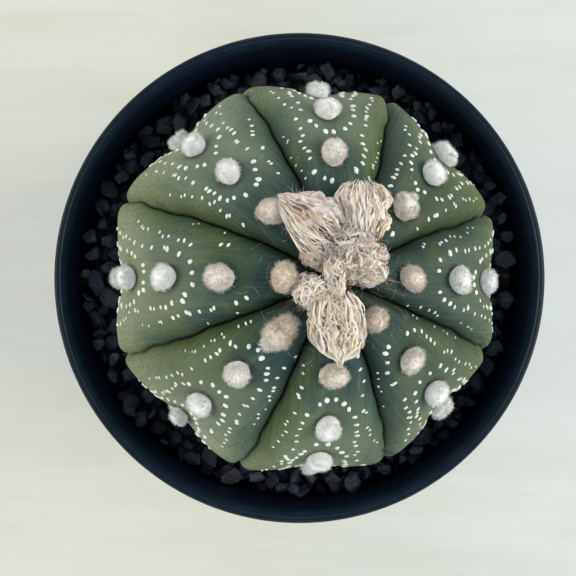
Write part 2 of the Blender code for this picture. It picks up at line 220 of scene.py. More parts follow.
def grid_faces(rows, columns, closed):
    """Quads between neighbouring rows of points; closed joins the last column to the first."""
    count = columns if closed else columns - 1
    i = np.arange(rows - 1)[:, None] * columns
    j = np.arange(count)[None, :]
    k = (j + 1) % columns
    return np.stack((i + j, i + columns + j, i + columns + k, i + k), axis=-1).reshape(-1, 4)


def closed_faces(rows, columns, first, last):
    """Faces of a skin closed at both ends: first and last are the middle points there."""
    faces = grid_faces(rows, columns, True).tolist()
    end = (rows - 1) * columns
    for i in range(columns):
        j = (i + 1) % columns
        faces.append((first, i, j))
        faces.append((last, end + j, end + i))
    return faces


def spokes(count):
    """Evenly spaced directions round a circle, in radians."""
    return 2.0 * math.pi * np.arange(count) / count


def tubes(paths, widths, thicknesses, sides, twist, rng, outward=None):
    """Closed tapered tubes along many paths at once: paths is (tubes, points, 3)."""
    count, points = paths.shape[:2]
    tangent = unit(np.gradient(paths, axis=1))
    reference = unit(rng.normal(size=(count, 1, 3))) if outward is None else outward
    side = unit(np.cross(tangent, reference))
    up = np.cross(tangent, side)
    twist = np.asarray(twist, dtype=float)
    if twist.ndim < 2:
        twist = np.linspace(0.0, 1.0, points)[None, :] * twist.reshape(-1, 1)
    turn = twist[..., None]
    across = side * np.cos(turn) + up * np.sin(turn)
    over = np.cross(tangent, across)
    angle = spokes(sides)
    ring = (
        across[:, :, None] * (np.cos(angle)[None, None, :, None] * widths[:, :, None, None])
        + over[:, :, None] * (np.sin(angle)[None, None, :, None] * thicknesses[:, :, None, None])
    )
    verts = (paths[:, :, None] + ring).reshape(-1, 3)
    pattern = grid_faces(points, sides, True)[:, ::-1]
    per_tube = points * sides
    quads = (np.arange(count)[:, None, None] * per_tube + pattern[None]).reshape(-1, 4)
    start = np.arange(sides)
    caps = np.stack((start, start[::-1] + per_tube - sides))
    ends = (np.arange(count)[:, None, None] * per_tube + caps[None]).reshape(-1, sides)
    return verts, quads.tolist() + ends.tolist()


def drift(rng, count, points, size, knots=6):
    """Smooth random wandering about zero, one row for each strand."""
    values = rng.normal(0.0, size, (count, knots))
    at = np.linspace(0.0, knots - 1.001, points)
    low = at.astype(int)
    t = at - low
    t = t * t * (3.0 - 2.0 * t)
    return values[:, low] * (1.0 - t) + values[:, low + 1] * t


# ---------------------------------------------------------------- materials


class Nodes:
    """A short way to write one material's node tree."""

    def __init__(self, name):
        self.material = bpy.data.materials.new(name)
        self.material.use_nodes = True
        self.tree = self.material.node_tree
        self.shader = self.tree.nodes["Principled BSDF"]

    def put(self, socket, value):
        if isinstance(value, bpy.types.NodeSocket):
            self.tree.links.new(value, socket)
        elif hasattr(socket.default_value, "__len__") and not hasattr(value, "__len__"):
            socket.default_value = [value] * len(socket.default_value)
        elif hasattr(value, "__len__") and len(socket.default_value) == 4 and len(value) == 3:
            socket.default_value = (*value, 1.0)
        else:
            socket.default_value = value

    def add(self, kind, inputs=None, output=0, **settings):
        made = self.tree.nodes.new("ShaderNode" + kind)
        for key, value in settings.items():
            setattr(made, key, value)
        for key, value in (inputs or {}).items():
            self.put(made.inputs[key], value)
        return made.outputs[output]

    def value(self, name):
        return self.add("Attribute", output="Fac", attribute_name=name)

    def vector(self, name):
        return self.add("Attribute", output="Vector", attribute_name=name)

    def place(self):
        return self.add("TexCoord", output="Object")

    def scaled(self, vector, scale):
        return self.add("Mapping", {"Vector": vector, "Scale": scale}, vector_type="POINT")

    def noise(self, vector, scale, detail=4.0, roughness=0.55, distortion=0.0):
        inputs = {"Vector": vector, "Scale": scale, "Detail": detail}
        inputs.update({"Roughness": roughness, "Distortion": distortion})
        return self.add("TexNoise", inputs, output="Fac")

    def cells(self, vector, scale):
        inputs = {"Vector": vector, "Scale": scale}
        return self.add("TexVoronoi", inputs, output="Distance")

    def ramp(self, factor, *stops):
        made = self.tree.nodes.new("ShaderNodeValToRGB")
        ramp = made.color_ramp
        while len(ramp.elements) < len(stops):
            ramp.elements.new(0.5)
        for element, (position, colour) in zip(ramp.elements, stops):
            element.position = position
            element.color = (*colour, 1.0) if hasattr(colour, "__len__") else (colour, colour, colour, 1.0)
        self.put(made.inputs["Fac"], factor)
        return made.outputs["Color"]

    def range(self, value, low, high, to_low=0.0, to_high=1.0):
        inputs = {"Value": value, "From Min": low, "From Max": high, "To Min": to_low, "To Max": to_high}
        return self.add("MapRange", inputs, interpolation_type="SMOOTHSTEP")

    def math(self, operation, a, b=0.0):
        made = self.tree.nodes.new("ShaderNodeMath")
        made.operation = operation
        self.put(made.inputs[0], a)
        self.put(made.inputs[1], b)
        return made.outputs[0]

    def mix(self, factor, a, b, blend="MIX"):
        made = self.tree.nodes.new("ShaderNodeMix")
        made.data_type = "RGBA"
        made.blend_type = blend
        self.put(made.inputs[0], factor)
        self.put(made.inputs[6], a)
        self.put(made.inputs[7], b)
        return made.outputs[2]

    def bump(self, height, distance, strength=1.0, normal=None):
        inputs = {"Height": height, "Distance": distance, "Strength": strength}
        if normal is not None:
            inputs["Normal"] = normal
        return self.add("Bump", inputs)

    def surface(self, **inputs):
        for key, value in inputs.items():
            self.put(self.shader.inputs[key.replace("_", " ")], value)
        return self.material


def skin_material():
    """Waxy green skin: a dark teal crown, partly painted shade; rib sides painted olive for warm light and
    teal for sky reflection; grey bloom low down; painted shade round the areoles, on the east ribs and
    beside the grooves, with a painted black-green line of shade in them.
    """
    n = Nodes("cactus_skin_detail")
    side = n.value("rib_side")
    groove_distance = n.value("groove_distance")
    down = n.value("down")
    warmth = n.value("warmth")
    near = n.value("areole_distance")
    fibre = n.vector("fibre")
    place = n.place()
    broad = n.noise(place, 130.0, 4.0, 0.6)
    bloom_and_shade = n.value("bloom")
    # Painted shade: the ramp is read lower, and so darker, towards the grooves.
    down_less_groove_shade = n.math("SUBTRACT", down, n.range(side, 0.5, 0.95, 0.0, 0.17))
    # From crown to flank the ramp is partly the skin's own colour and partly painted shade: the crown is
    # darker because it faces the dim sky.
    colour = n.ramp(
        n.math("ADD", down_less_groove_shade, n.range(broad, 0.3, 0.7, -0.10, 0.10)),
        (0.0, (0.010, 0.020, 0.022)),
        (0.16, (0.012, 0.036, 0.042)),
        (0.30, (0.021, 0.056, 0.054)),
        (0.44, (0.038, 0.078, 0.052)),
        (0.60, (0.064, 0.108, 0.062)),
        (0.80, (0.130, 0.172, 0.090)),
        (1.0, (0.300, 0.345, 0.220)),
    )
    # Painted light: rib sides that face warm light are painted olive, and those that face the cool sky are
    # painted teal as its reflection.
    warm_light_share = n.math("ADD", warmth, n.range(broad, 0.3, 0.7, -0.3, 0.3))
    olive = n.math("MULTIPLY", n.range(warm_light_share, 0.28, 0.90), n.range(down, 0.12, 0.45, 0.12, 0.9))
    warm_lit_olive = n.mix(n.range(down, 0.5, 1.0), (0.056, 0.088, 0.016), (0.125, 0.160, 0.060))
    colour = n.mix(olive, colour, warm_lit_olive)
    painted_sky_reflection = n.math("MULTIPLY", n.range(warm_light_share, 0.45, -0.05), n.range(down, 0.95, 0.5, 0.0, 0.7))
    cool = n.mix(n.range(down, 0.2, 0.6), (0.015, 0.045, 0.050), (0.066, 0.102, 0.062))
    colour = n.mix(painted_sky_reflection, colour, cool)
    streaks = n.noise(n.scaled(fibre, (1.0, 0.05, 1.0)), 1.5, 6.0, 0.7)
    colour = n.mix(n.range(streaks, 0.50, 0.72, 0.0, 0.5), colour, (0.150, 0.190, 0.105))
    colour = n.mix(n.range(streaks, 0.48, 0.28, 0.0, 0.65), colour, (0.014, 0.028, 0.016))
    strands = n.noise(n.scaled(fibre, (1.0, 0.035, 1.0)), 7.0, 4.0, 0.6)
    colour = n.mix(n.range(strands, 0.54, 0.72, 0.0, 0.38), colour, (0.17, 0.21, 0.13))
    bloom_noise = n.noise(place, 2600.0, 3.0, 0.7)
    # Painted shade on the east ribs, which have little bloom, strongest towards the crown.
    painted_east_shade = n.math("MULTIPLY", n.range(bloom_and_shade, 0.45, 0.05, 0.0, 0.5), n.range(down, 0.85, 0.5))
    colour = n.mix(painted_east_shade, colour, (0.022, 0.038, 0.022))
    veil = n.math("MULTIPLY", n.range(down, 0.28, 0.55, 0.0, 0.9), n.range(broad, 0.25, 0.6, 0.5, 1.0))
    veil = n.math("MULTIPLY", n.math("MULTIPLY", veil, bloom_and_shade), n.range(side, 0.95, 0.45, 0.15, 1.0))
    colour = n.mix(veil, colour, (0.205, 0.244, 0.172))
    bloom = n.math("MULTIPLY", n.range(down, 0.55, 1.0), n.range(bloom_noise, 0.40, 0.66, 0.0, 0.65))
    colour = n.mix(bloom, colour, (0.40, 0.44, 0.34))
    halo = n.math("MULTIPLY", n.range(near, 4.6, 2.2), n.range(bloom_noise, 0.5, 0.8, 0.0, 0.55))
    colour = n.mix(halo, colour, (0.27, 0.29, 0.24))
    shade = n.math("MULTIPLY", n.range(near, 3.5, 2.0), 0.4)
    colour = n.mix(shade, colour, (0.022, 0.034, 0.026))
    dots = n.cells(n.scaled(fibre, (1.0, 0.8, 1.0)), 1.15)
    dark_dots = n.math("MULTIPLY", n.range(dots, 0.21, 0.12), n.range(side, 0.5, 0.9, 0.0, 0.8))
    colour = n.mix(dark_dots, colour, (0.016, 0.028, 0.012))
    dust = n.range(n.cells(place, 620.0), 0.11, 0.06)
    dust = n.math("MULTIPLY", dust, n.range(broad, 0.45, 0.6, 0.0, 0.5))
    colour = n.mix(dust, colour, (0.40, 0.42, 0.38))
    # Painted shade beside the grooves, and a painted dark line of shade in their creases.
    shadow = n.math("MULTIPLY", n.range(groove_distance, 2.2, 0.2), n.range(down, 0.95, 0.3, 0.1, 0.48))
    colour = n.mix(shadow, colour, (0.013, 0.024, 0.011))
    waver = n.math("ADD", groove_distance, n.range(streaks, 0.3, 0.7, -0.08, 0.08))
    groove_crease_shade = n.math("MULTIPLY", n.range(waver, 0.30, 0.08), n.range(down, 1.0, 0.35, 0.35, 1.0))
    colour = n.mix(groove_crease_shade, colour, (0.004, 0.009, 0.005))
    pores = n.noise(place, 5200.0, 2.0, 0.6)
    normal = n.bump(streaks, 0.00022)
    normal = n.bump(strands, 0.00005, 1.0, normal)
    normal = n.bump(pores, 0.00004, 0.8, normal)
    rough = n.range(bloom_noise, 0.3, 0.8, 0.40, 0.60)
    return n.surface(
        Base_Color=colour, Roughness=rough, Normal=normal, Specular_IOR_Level=0.22, Subsurface_Weight=0.04,
        Subsurface_Radius=(0.4, 0.8, 0.25), Subsurface_Scale=0.002,
    )


def fleck_material():
    n = Nodes("felt_scale")
    grain = n.noise(n.place(), 9000.0, 2.0)
    colour = n.ramp(grain, (0.3, (0.72, 0.76, 0.68)), (0.7, (0.88, 0.90, 0.85)))
    return n.surface(Base_Color=colour, Roughness=0.9, Normal=n.bump(grain, 0.00005), Sheen_Weight=0.3)


def felt_material():
    """Felt hair: tone is 0 on white young wool and 1 on brown old wool, with gaps in old mats."""
    n = Nodes("areole_felt")
    tone = n.value("tone")
    clump = n.noise(n.place(), 1500.0, 3.0, 0.6)
    mixed = n.math("ADD", tone, n.range(clump, 0.3, 0.75, -0.05, 0.08))
    colour = n.ramp(
        mixed,
        (0.0, (0.98, 0.99, 0.97)),
        (0.08, (0.975, 0.975, 0.95)),
        (0.16, (0.91, 0.88, 0.81)),
        (0.27, (0.89, 0.82, 0.73)),
        (0.5, (0.81, 0.68, 0.53)),
        (0.75, (0.44, 0.31, 0.21)),
        (1.0, (0.14, 0.09, 0.06)),
    )
    mat = n.noise(n.place(), 2300.0, 4.0, 0.75)
    gaps = n.math("MULTIPLY", n.range(mat, 0.54, 0.38), n.range(tone, 0.02, 0.16, 0.0, 0.72))
    colour = n.mix(gaps, colour, (0.40, 0.29, 0.19))
    normal = n.bump(mat, 0.00013)
    return n.surface(
        Base_Color=colour, Roughness=0.95, Normal=normal, Sheen_Weight=0.8, Sheen_Roughness=0.5,
        Specular_IOR_Level=0.1,
    )


def petal_material():
    """Dried petals: straw, cream and dull mauve by strand, with painted shade in the creases along them and
    painted highlights on their folds.
    """
    n = Nodes("dried_petal_ribbons")
    tone = n.value("tone")
    lengthwise = n.vector("strand")
    creases = n.noise(n.scaled(lengthwise, (4.0, 0.5, 1.0)), 2.2, 5.0, 0.65)
    blotch = n.noise(n.place(), 600.0, 3.0)
    mixed = n.math("ADD", tone, n.range(blotch, 0.3, 0.7, -0.12, 0.12))
    colour = n.ramp(
        mixed,
        (0.0, (1.0, 0.87, 0.64)),
        (0.16, (0.99, 0.87, 0.74)),
        (0.29, (0.97, 0.91, 0.85)),
        (0.40, (0.90, 0.77, 0.67)),
        (0.52, (0.70, 0.61, 0.60)),
        (0.68, (0.62, 0.45, 0.29)),
        (0.84, (0.32, 0.19, 0.10)),
        (1.0, (0.09, 0.05, 0.028)),
    )
    # Painted shade in the low creases and painted highlights on the raised folds.
    colour = n.mix(n.range(creases, 0.48, 0.3, 0.0, 0.45), colour, (0.34, 0.24, 0.15))
    colour = n.mix(n.range(creases, 0.55, 0.72, 0.0, 0.4), colour, (0.92, 0.88, 0.80))
    normal = n.bump(creases, 0.00012)
    return n.surface(
        Base_Color=colour, Roughness=0.72, Normal=normal, Sheen_Weight=0.15, Specular_IOR_Level=0.25,
        Subsurface_Weight=0.1, Subsurface_Radius=(1.0, 0.8, 0.6), Subsurface_Scale=0.0006,
    )


def gravel_material():
    """Crushed lava: charcoal with blue, violet and brown grains and pitted, dusty faces."""
    n = Nodes("lava_gravel_detail")
    place = n.place()
    grain = n.value("tone")
    colour = n.ramp(
        grain,
        (0.0, (0.005, 0.010, 0.018)),
        (0.25, (0.012, 0.019, 0.031)),
        (0.45, (0.017, 0.026, 0.056)),
        (0.60, (0.031, 0.040, 0.055)),
        (0.78, (0.042, 0.036, 0.040)),
        (0.90, (0.054, 0.068, 0.095)),
        (1.0, (0.100, 0.113, 0.138)),
    )
    dust = n.noise(place, 1300.0, 5.0, 0.7)
    colour = n.mix(n.range(dust, 0.50, 0.72, 0.0, 0.6), colour, (0.105, 0.130, 0.165))
    colour = n.mix(n.range(dust, 0.45, 0.30, 0.0, 0.6), colour, (0.003, 0.006, 0.011))
    pits = n.cells(place, 2600.0)
    normal = n.bump(dust, 0.0003)
    normal = n.bump(pits, 0.00012, 0.8, normal)
    return n.surface(Base_Color=colour, Roughness=n.range(dust, 0.3, 0.8, 0.45, 0.8), Normal=normal)


def plastic_material():
    """Black moulded plastic, a little bluer inside the collar, with fine scuffs and pale dust."""
    n = Nodes("black_plastic_detail")
    place = n.place()
    scuff = n.noise(n.scaled(place, (1.0, 1.0, 6.0)), 900.0, 5.0, 0.7)
    dust = n.noise(place, 240.0, 5.0, 0.65)
    colour = n.mix(n.range(dust, 0.42, 0.75), (0.0010, 0.0080, 0.0165), (0.0040, 0.0140, 0.0260))
    reach = n.add("VectorMath", {0: n.scaled(place, (1.0, 1.0, 0.0))}, output="Value", operation="LENGTH")
    height = n.add("SeparateXYZ", {0: place}, output="Z")
    inside = n.math("MULTIPLY", n.range(reach, 0.0429, 0.0425), n.range(height, 0.0605, 0.0625))
    colour = n.mix(inside, colour, (0.0045, 0.0110, 0.0270))
    speck = n.range(n.cells(place, 420.0), 0.07, 0.03)
    speck = n.math("MULTIPLY", speck, n.range(dust, 0.48, 0.6, 0.0, 0.35))
    colour = n.mix(speck, colour, (0.16, 0.17, 0.18))
    rough = n.range(scuff, 0.3, 0.75, 0.36, 0.58)
    fine = n.noise(place, 5000.0, 2.0)
    normal = n.bump(fine, 0.00003, 0.6)
    return n.surface(Base_Color=colour, Roughness=rough, Normal=normal, Specular_IOR_Level=0.15)


def soil_material():
    n = Nodes("potting_mix_detail")
    place = n.place()
    crumbs = n.cells(place, 700.0)
    fibres = n.noise(place, 400.0, 6.0, 0.7, 1.5)
    colour = n.ramp(
        fibres,
        (0.3, (0.012, 0.008, 0.005)),
        (0.55, (0.040, 0.025, 0.014)),
        (0.75, (0.10, 0.07, 0.04)),
    )
    normal = n.bump(crumbs, 0.0006)
    normal = n.bump(fibres, 0.0004, 1.0, normal)
    return n.surface(Base_Color=colour, Roughness=0.95, Normal=normal)


def floor_material():
    """Pale limed boards: faint long grain, warmer to the west, with a painted pool of light either side of
    the pot.
    """
    n = Nodes("pale_floor")
    place = n.place()
    bands = n.noise(n.scaled(place, (1.0, 6.0, 1.0)), 12.0, 4.0)
    grain = n.noise(n.scaled(place, (1.0, 14.0, 1.0)), 60.0, 5.0, 0.6)
    colour = n.ramp(
        bands,
        (0.3, (0.63, 0.625, 0.565)),
        (0.55, (0.67, 0.685, 0.645)),
        (0.75, (0.64, 0.63, 0.55)),
    )
    colour = n.mix(n.range(grain, 0.45, 0.7, 0.0, 0.16), colour, (0.57, 0.56, 0.50))
    east = n.add("SeparateXYZ", {0: place}, output="X")
    tint = n.mix(n.range(east, -0.05, 0.05), (0.99, 0.975, 0.925), (0.965, 0.995, 1.0))
    colour = n.mix(1.0, colour, tint, "MULTIPLY")
    # Painted light: paler pools either side of the pot, where its shade falls on the floor.
    for x, strength in ((0.060, 0.40), (-0.060, 0.25)):
        reach = n.add("VectorMath", {0: place, 1: (x, 0.0, 0.0)}, output="Value", operation="DISTANCE")
        colour = n.mix(n.range(reach, 0.075, 0.0, 0.0, strength), colour, (0.92, 0.95, 0.92))
    return n.surface(Base_Color=colour, Roughness=0.8)


# ---------------------------------------------------------------- the cactus body

BODY_COLUMNS = 44
BODY_ROWS = 190
BODY_FIRST_RING = 1.0  # degrees from the crown
BODY_LAST_RING = 175.0
AREOLE_PIT_DEPTH = 0.35 * MM
AREOLE_PIT_RADIUS = 3.0 * MM
SWELL_HEIGHT = 0.22 * MM
SWELL_SIZE = 5.5 * MM


def body_stations():
    """Places across a rib, closer together where the skin turns into the grooves."""
    even = np.linspace(-1.0, 1.0, BODY_COLUMNS, endpoint=False)
    return np.sign(even) * (1.0 - (1.0 - np.abs(even)) ** 1.5)


def areole_pits(points):
    """How deep the skin is pressed in round each areole, and each point's distance to one."""
    nearest = np.full(len(points), 0.1)
    for _, rib, arc in areoles():
        theta = arc_to_theta(arc)
        centre = skin(theta, rib_azimuth(rib, 0.0), 0.0, 0.0, rib)
        nearest = np.minimum(nearest, np.linalg.norm(points - centre, axis=-1))
    return AREOLE_PIT_DEPTH * np.exp(-((nearest / AREOLE_PIT_RADIUS) ** 2)), nearest


# How olive the skin is painted, for the warm light its sides face, at the low end, the middle and the high
# end of each rib; 0 is painted teal, a painted reflection of the cool sky.
RIB_PAINTED_WARM_LIGHT = np.array(
    (
        (0.35, 0.35, 0.55),
        (1.0, 0.7, 0.1),
        (0.95, 0.35, 0.4),
        (0.05, 0.2, 1.0),
        (0.8, 0.5, 0.6),
        (1.0, 0.55, 0.0),
        (1.0, 0.35, 0.25),
        (0.15, 0.4, 0.85),
    )
)

# How strong the grey bloom is over the middle of each rib; where it is weak, on the east ribs, painted shade
# darkens the skin instead.
RIB_BLOOM_AND_SHADE = np.array((0.18, 0.16, 0.58, 0.80, 0.52, 0.50, 0.50, 0.22))


def painted_warm_light_of(rib, place):
    """How strongly the skin is painted olive for warm light at a place from -1 to 1 across a rib."""
    low, middle, high = RIB_PAINTED_WARM_LIGHT[rib].T
    end = np.where(place < 0.0, low, high)
    return middle + (end - middle) * np.abs(place)


def groove_distance(theta, rib, place):
    """How far a point of the skin lies from its nearer groove, along a ring round the plant."""
    half = rib_azimuth(rib, 1.0) - rib_azimuth(rib, 0.0)
    return meridian(theta)[0] * half * (1.0 - np.abs(place))


def body_object(material):
    places = body_stations()
    share = np.linspace(0.0, 1.0, BODY_ROWS)
    thetas = np.radians(BODY_FIRST_RING + (BODY_LAST_RING - BODY_FIRST_RING) * share)
    rib = np.repeat(np.arange(RIB_COUNT), len(places))
    place = np.tile(places, RIB_COUNT)
    azimuth = rib_azimuth(rib, place)
    theta_grid = np.repeat(thetas, len(azimuth))
    azimuth_grid = np.tile(azimuth, BODY_ROWS)
    place_grid = np.tile(place, BODY_ROWS)
    rib_grid = np.tile(rib, BODY_ROWS)
    flat = skin(theta_grid, azimuth_grid, 0.0, place_grid, rib_grid)
    pit, nearest = areole_pits(flat)
    swell = np.array([noise.noise(Vector(point) / SWELL_SIZE) for point in flat]) * SWELL_HEIGHT
    points = skin(theta_grid, azimuth_grid, swell - pit, place_grid, rib_grid)
    arc = np.interp(theta_grid, THETA_TABLE, ARC_TABLE)
    radius = meridian(theta_grid)[0]
    lateral = radius * (azimuth_grid - rib_azimuth(rib_grid, 0.0))
    fibre = np.stack((lateral / MM + rib_grid * 40.0, arc / MM, np.zeros_like(arc)), axis=-1)
    count = len(points)
    crown = skin(0.0, 0.0, 0.0, 0.0, 0)
    root = np.array((0.0, 0.0, -UNDERSIDE_DEPTH - 1.0 * MM))
    verts = to_world(np.vstack((points, crown, root)))
    faces = closed_faces(BODY_ROWS, len(azimuth), count, count + 1)
    attributes = {
        "rib_side": np.append(np.abs(place_grid), (1.0, 1.0)),
        "groove_distance": np.append(groove_distance(theta_grid, rib_grid, place_grid) / MM, (0.0, 0.0)),
        "warmth": np.append(painted_warm_light_of(rib_grid, place_grid), (0.2, 0.2)),
        # Low bloom values also mark where painted shade darkens the skin.
        "bloom": np.append(RIB_BLOOM_AND_SHADE[rib_grid], (0.0, 0.0)),
        "down": np.append(np.clip(theta_grid / (math.pi / 2.0), 0.0, 1.1), (0.0, 1.1)),
        "areole_distance": np.append(nearest / MM, (20.0, 20.0)),
        "fibre": np.vstack((fibre, (0.0, 0.0, 0.0), (0.0, 0.0, 0.0))),
    }
    body = mesh_object("cactus_skin_body", verts, faces, material, attributes)
    place_piece(body, "cactus_skin", "cactus_body")
    return body


# ---------------------------------------------------------------- white scales

FLECK_SIDES = 9
EARLY_CHAIN = 7.0  # the first millimetres of a chain, where its scales are large and evenly spaced
CHAIN_FORM = np.array(  # along the rib from the areole, and across it, in millimetres
    (
        (-5.4, 0.0), (-5.1, 1.4), (-4.2, 2.8), (-2.8, 3.9), (-1.0, 4.6),
        (1.5, 5.0), (4.5, 5.4), (8.0, 6.1), (12.5, 7.4), (18.0, 9.4),
    )
)


def chain_points(rng, side):
    """Where the scales of one half of a chain lie, and the chain's direction there."""
    steps = np.hypot(*np.diff(CHAIN_FORM, axis=0).T)
    length = np.concatenate(([0.0], np.cumsum(steps)))
    spots = []
    at = rng.uniform(0.2, 1.4)
    while at < length[-1]:
        spots.append(at)
        if at < EARLY_CHAIN:
            at += rng.uniform(1.1, 2.4)
        else:
            at += rng.choice((0.85, 1.25, 1.7, 2.6)) * rng.uniform(0.85, 1.15)
    spots = np.array(spots)
    along, across = (np.interp(spots, length, CHAIN_FORM[:, axis]) for axis in (0, 1))
    next_along, next_across = (np.interp(spots + 0.3, length, CHAIN_FORM[:, axis]) for axis in (0, 1))
    ahead = unit(np.stack((next_along - along, next_across - across), axis=-1) + 1e-6)
    return along, across * side, ahead * np.array((1.0, side)), spots / length[-1]


def fleck_spots(rng):
    """All the scales: position, outward direction, long axis and half sizes."""
    found = []
    for _, rib, arc in areoles():
        for side in (-1.0, 1.0):
            along, across, ahead, share = chain_points(rng, side)
            along = along + rng.normal(0.0, 0.28, len(along))
            across = across + rng.normal(0.0, 0.22, len(across))
            s = arc + along * MM
            theta = arc_to_theta(np.maximum(s, 1.0 * MM))
            radius = meridian(theta)[0]
            azimuth = rib_azimuth(rib, 0.0) + across * MM / radius
            ribs, place = rib_place(azimuth)
            keep = (ribs == rib) & (np.abs(place) < 0.93) & (s > 5.0 * MM) & (theta < 1.95)
            keep &= rng.random(len(s)) < np.interp(s / MM, (9.0, 14.0, 18.0, 22.0), (0.16, 0.3, 0.8, 0.96))
            for k in np.nonzero(keep)[0]:
                found.append((theta[k], azimuth[k], place[k], ahead[k], share[k]))
    return found


def flecks_object(material):
    rng = np.random.default_rng(41)
    spots = fleck_spots(rng)
    theta, azimuth, place, ahead, share = (np.array(values) for values in zip(*spots))
    centre = skin(theta, azimuth)
    eps = 1e-3
    along = unit(skin(theta + eps, azimuth) - skin(theta - eps, azimuth))
    across = unit(skin(theta, azimuth + eps) - skin(theta, azimuth - eps))
    outward = unit(np.cross(along, across))
    across = np.cross(outward, along)
    long_axis = -ahead[:, 1:2] * along + ahead[:, 0:1] * across
    tilt = rng.normal(0.0, 0.22, len(theta))[:, None]
    long_axis = unit(long_axis * np.cos(tilt) + np.cross(outward, long_axis) * np.sin(tilt))
    short_axis = np.cross(outward, long_axis)
    size = np.interp(share, (0.0, 0.35, 1.0), (0.58, 0.50, 0.34)) * rng.uniform(0.8, 1.15, len(theta))
    size = size * np.interp(np.abs(place), (0.0, 0.7, 0.93), (1.0, 0.95, 0.6))
    slim = np.interp(share, (0.0, 0.3, 1.0), (0.78, 0.58, 0.5)) * rng.uniform(0.88, 1.12, len(theta))
    angle = spokes(FLECK_SIDES)
    edge = 1.0 + rng.normal(0.0, 0.07, (len(theta), FLECK_SIDES))
    rings = []
    for reach, height in ((1.0, -0.20), (0.92, 0.08), (0.55, 0.17)):
        a = (reach * size[:, None] * edge * np.cos(angle))[..., None]
        b = (reach * size[:, None] * slim[:, None] * edge * np.sin(angle))[..., None]
        step = a * long_axis[:, None] + b * short_axis[:, None] + height * outward[:, None]
        rings.append(centre[:, None] + MM * step)
    tip = (centre + 0.20 * MM * outward)[:, None]
    foot = (centre - 0.22 * MM * outward)[:, None]
    verts = np.concatenate(rings + [tip, foot], axis=1)
    per_fleck = verts.shape[1]
    pattern = []
    for ring in range(2):
        for i in range(FLECK_SIDES):
            j = (i + 1) % FLECK_SIDES
            low, high = ring * FLECK_SIDES, (ring + 1) * FLECK_SIDES
            pattern.append((low + i, low + j, high + j, high + i))
    caps = []
    for i in range(FLECK_SIDES):
        j = (i + 1) % FLECK_SIDES
        caps.append((2 * FLECK_SIDES + i, 2 * FLECK_SIDES + j, 3 * FLECK_SIDES))
        caps.append((j, i, 3 * FLECK_SIDES + 1))
    starts = np.arange(len(theta))[:, None, None] * per_fleck
    faces = (starts + np.array(pattern)).reshape(-1, 4).tolist()
    faces += (starts + np.array(caps)).reshape(-1, 3).tolist()
    flecks = mesh_object("white_felt_scales", to_world(verts.reshape(-1, 3)), faces, material)
    place_piece(flecks, "felt")
    return flecks


# ---------------------------------------------------------------- felt tufts

TUFT_RADIUS = 2.25 * MM
TUFT_HEIGHT = 2.5 * MM
TUFT_HAIRS = 1600
TUFT_CORE = 0.96
TUFT_WISPS = 46
CORE_RINGS = 22
CORE_SIDES = 36
CORE_SKIRT_DEPTH = 0.25 * MM
CORE_FOOT_DEPTH = 0.3 * MM


def rib_plan(rib, arc):
    """A plan for laying things on a rib: metres along and across turn into skin angles."""
    theta = float(arc_to_theta(arc))
    azimuth = float(rib_azimuth(rib, 0.0))
    step = math.radians(0.5)
    here, there = meridian(theta), meridian(theta + step)
    length = math.hypot(there[0] - here[0], there[1] - here[1]) / step

    def plan(x, y, lift):
        return skin(theta + x / length, azimuth + y / here[0], lift)

    return plan


def crown_plan(x0, y0, heading):
    """A plan laid flat over the crown, its first axis turned to a heading in radians."""

    def plan(x, y, lift):
        px = x0 + x * math.cos(heading) - y * math.sin(heading)
        py = y0 + x * math.sin(heading) + y * math.cos(heading)
        distance = np.hypot(px, py)
        return skin(np.arcsin(np.minimum(distance / BODY_RADIUS, 1.0)), np.arctan2(py, px), lift)

    return plan


def dome_profile(share, height):
    """A tuft's height at a share of its radius."""
    return height * np.maximum(1.0 - share**2.6, 0.0) ** 0.52


def felt_dome(plan, radius, height, rng, lumps=0.12):
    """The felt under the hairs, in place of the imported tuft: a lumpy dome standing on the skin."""
    share = np.concatenate((np.linspace(0.0, 0.9, CORE_RINGS - 5), (0.94, 0.97, 0.99, 1.0, 0.86)))
    angle = spokes(CORE_SIDES)
    phase = rng.uniform(0.0, 100.0)
    verts = []
    for row, s in enumerate(share[1:], start=1):
        x = s * radius * np.cos(angle)
        y = s * radius * np.sin(angle)
        wobble = np.array(
            [noise.noise(Vector((a / radius * 1.7, b / radius * 1.7, phase))) for a, b in zip(x, y)]
        )
        grow = 1.0 + lumps * wobble
        skirt = row == CORE_RINGS - 1
        lift = np.full_like(x, -CORE_SKIRT_DEPTH) if skirt else dome_profile(s, height) * grow
        verts.append(plan(x * grow, y * grow, lift))
    rows = len(verts)
    zero = np.zeros(1)
    top = plan(zero, zero, zero + height)
    foot = plan(zero, zero, zero - CORE_FOOT_DEPTH)
    faces = closed_faces(rows, CORE_SIDES, rows * CORE_SIDES, rows * CORE_SIDES + 1)
    return np.vstack(verts + [top, foot]), faces


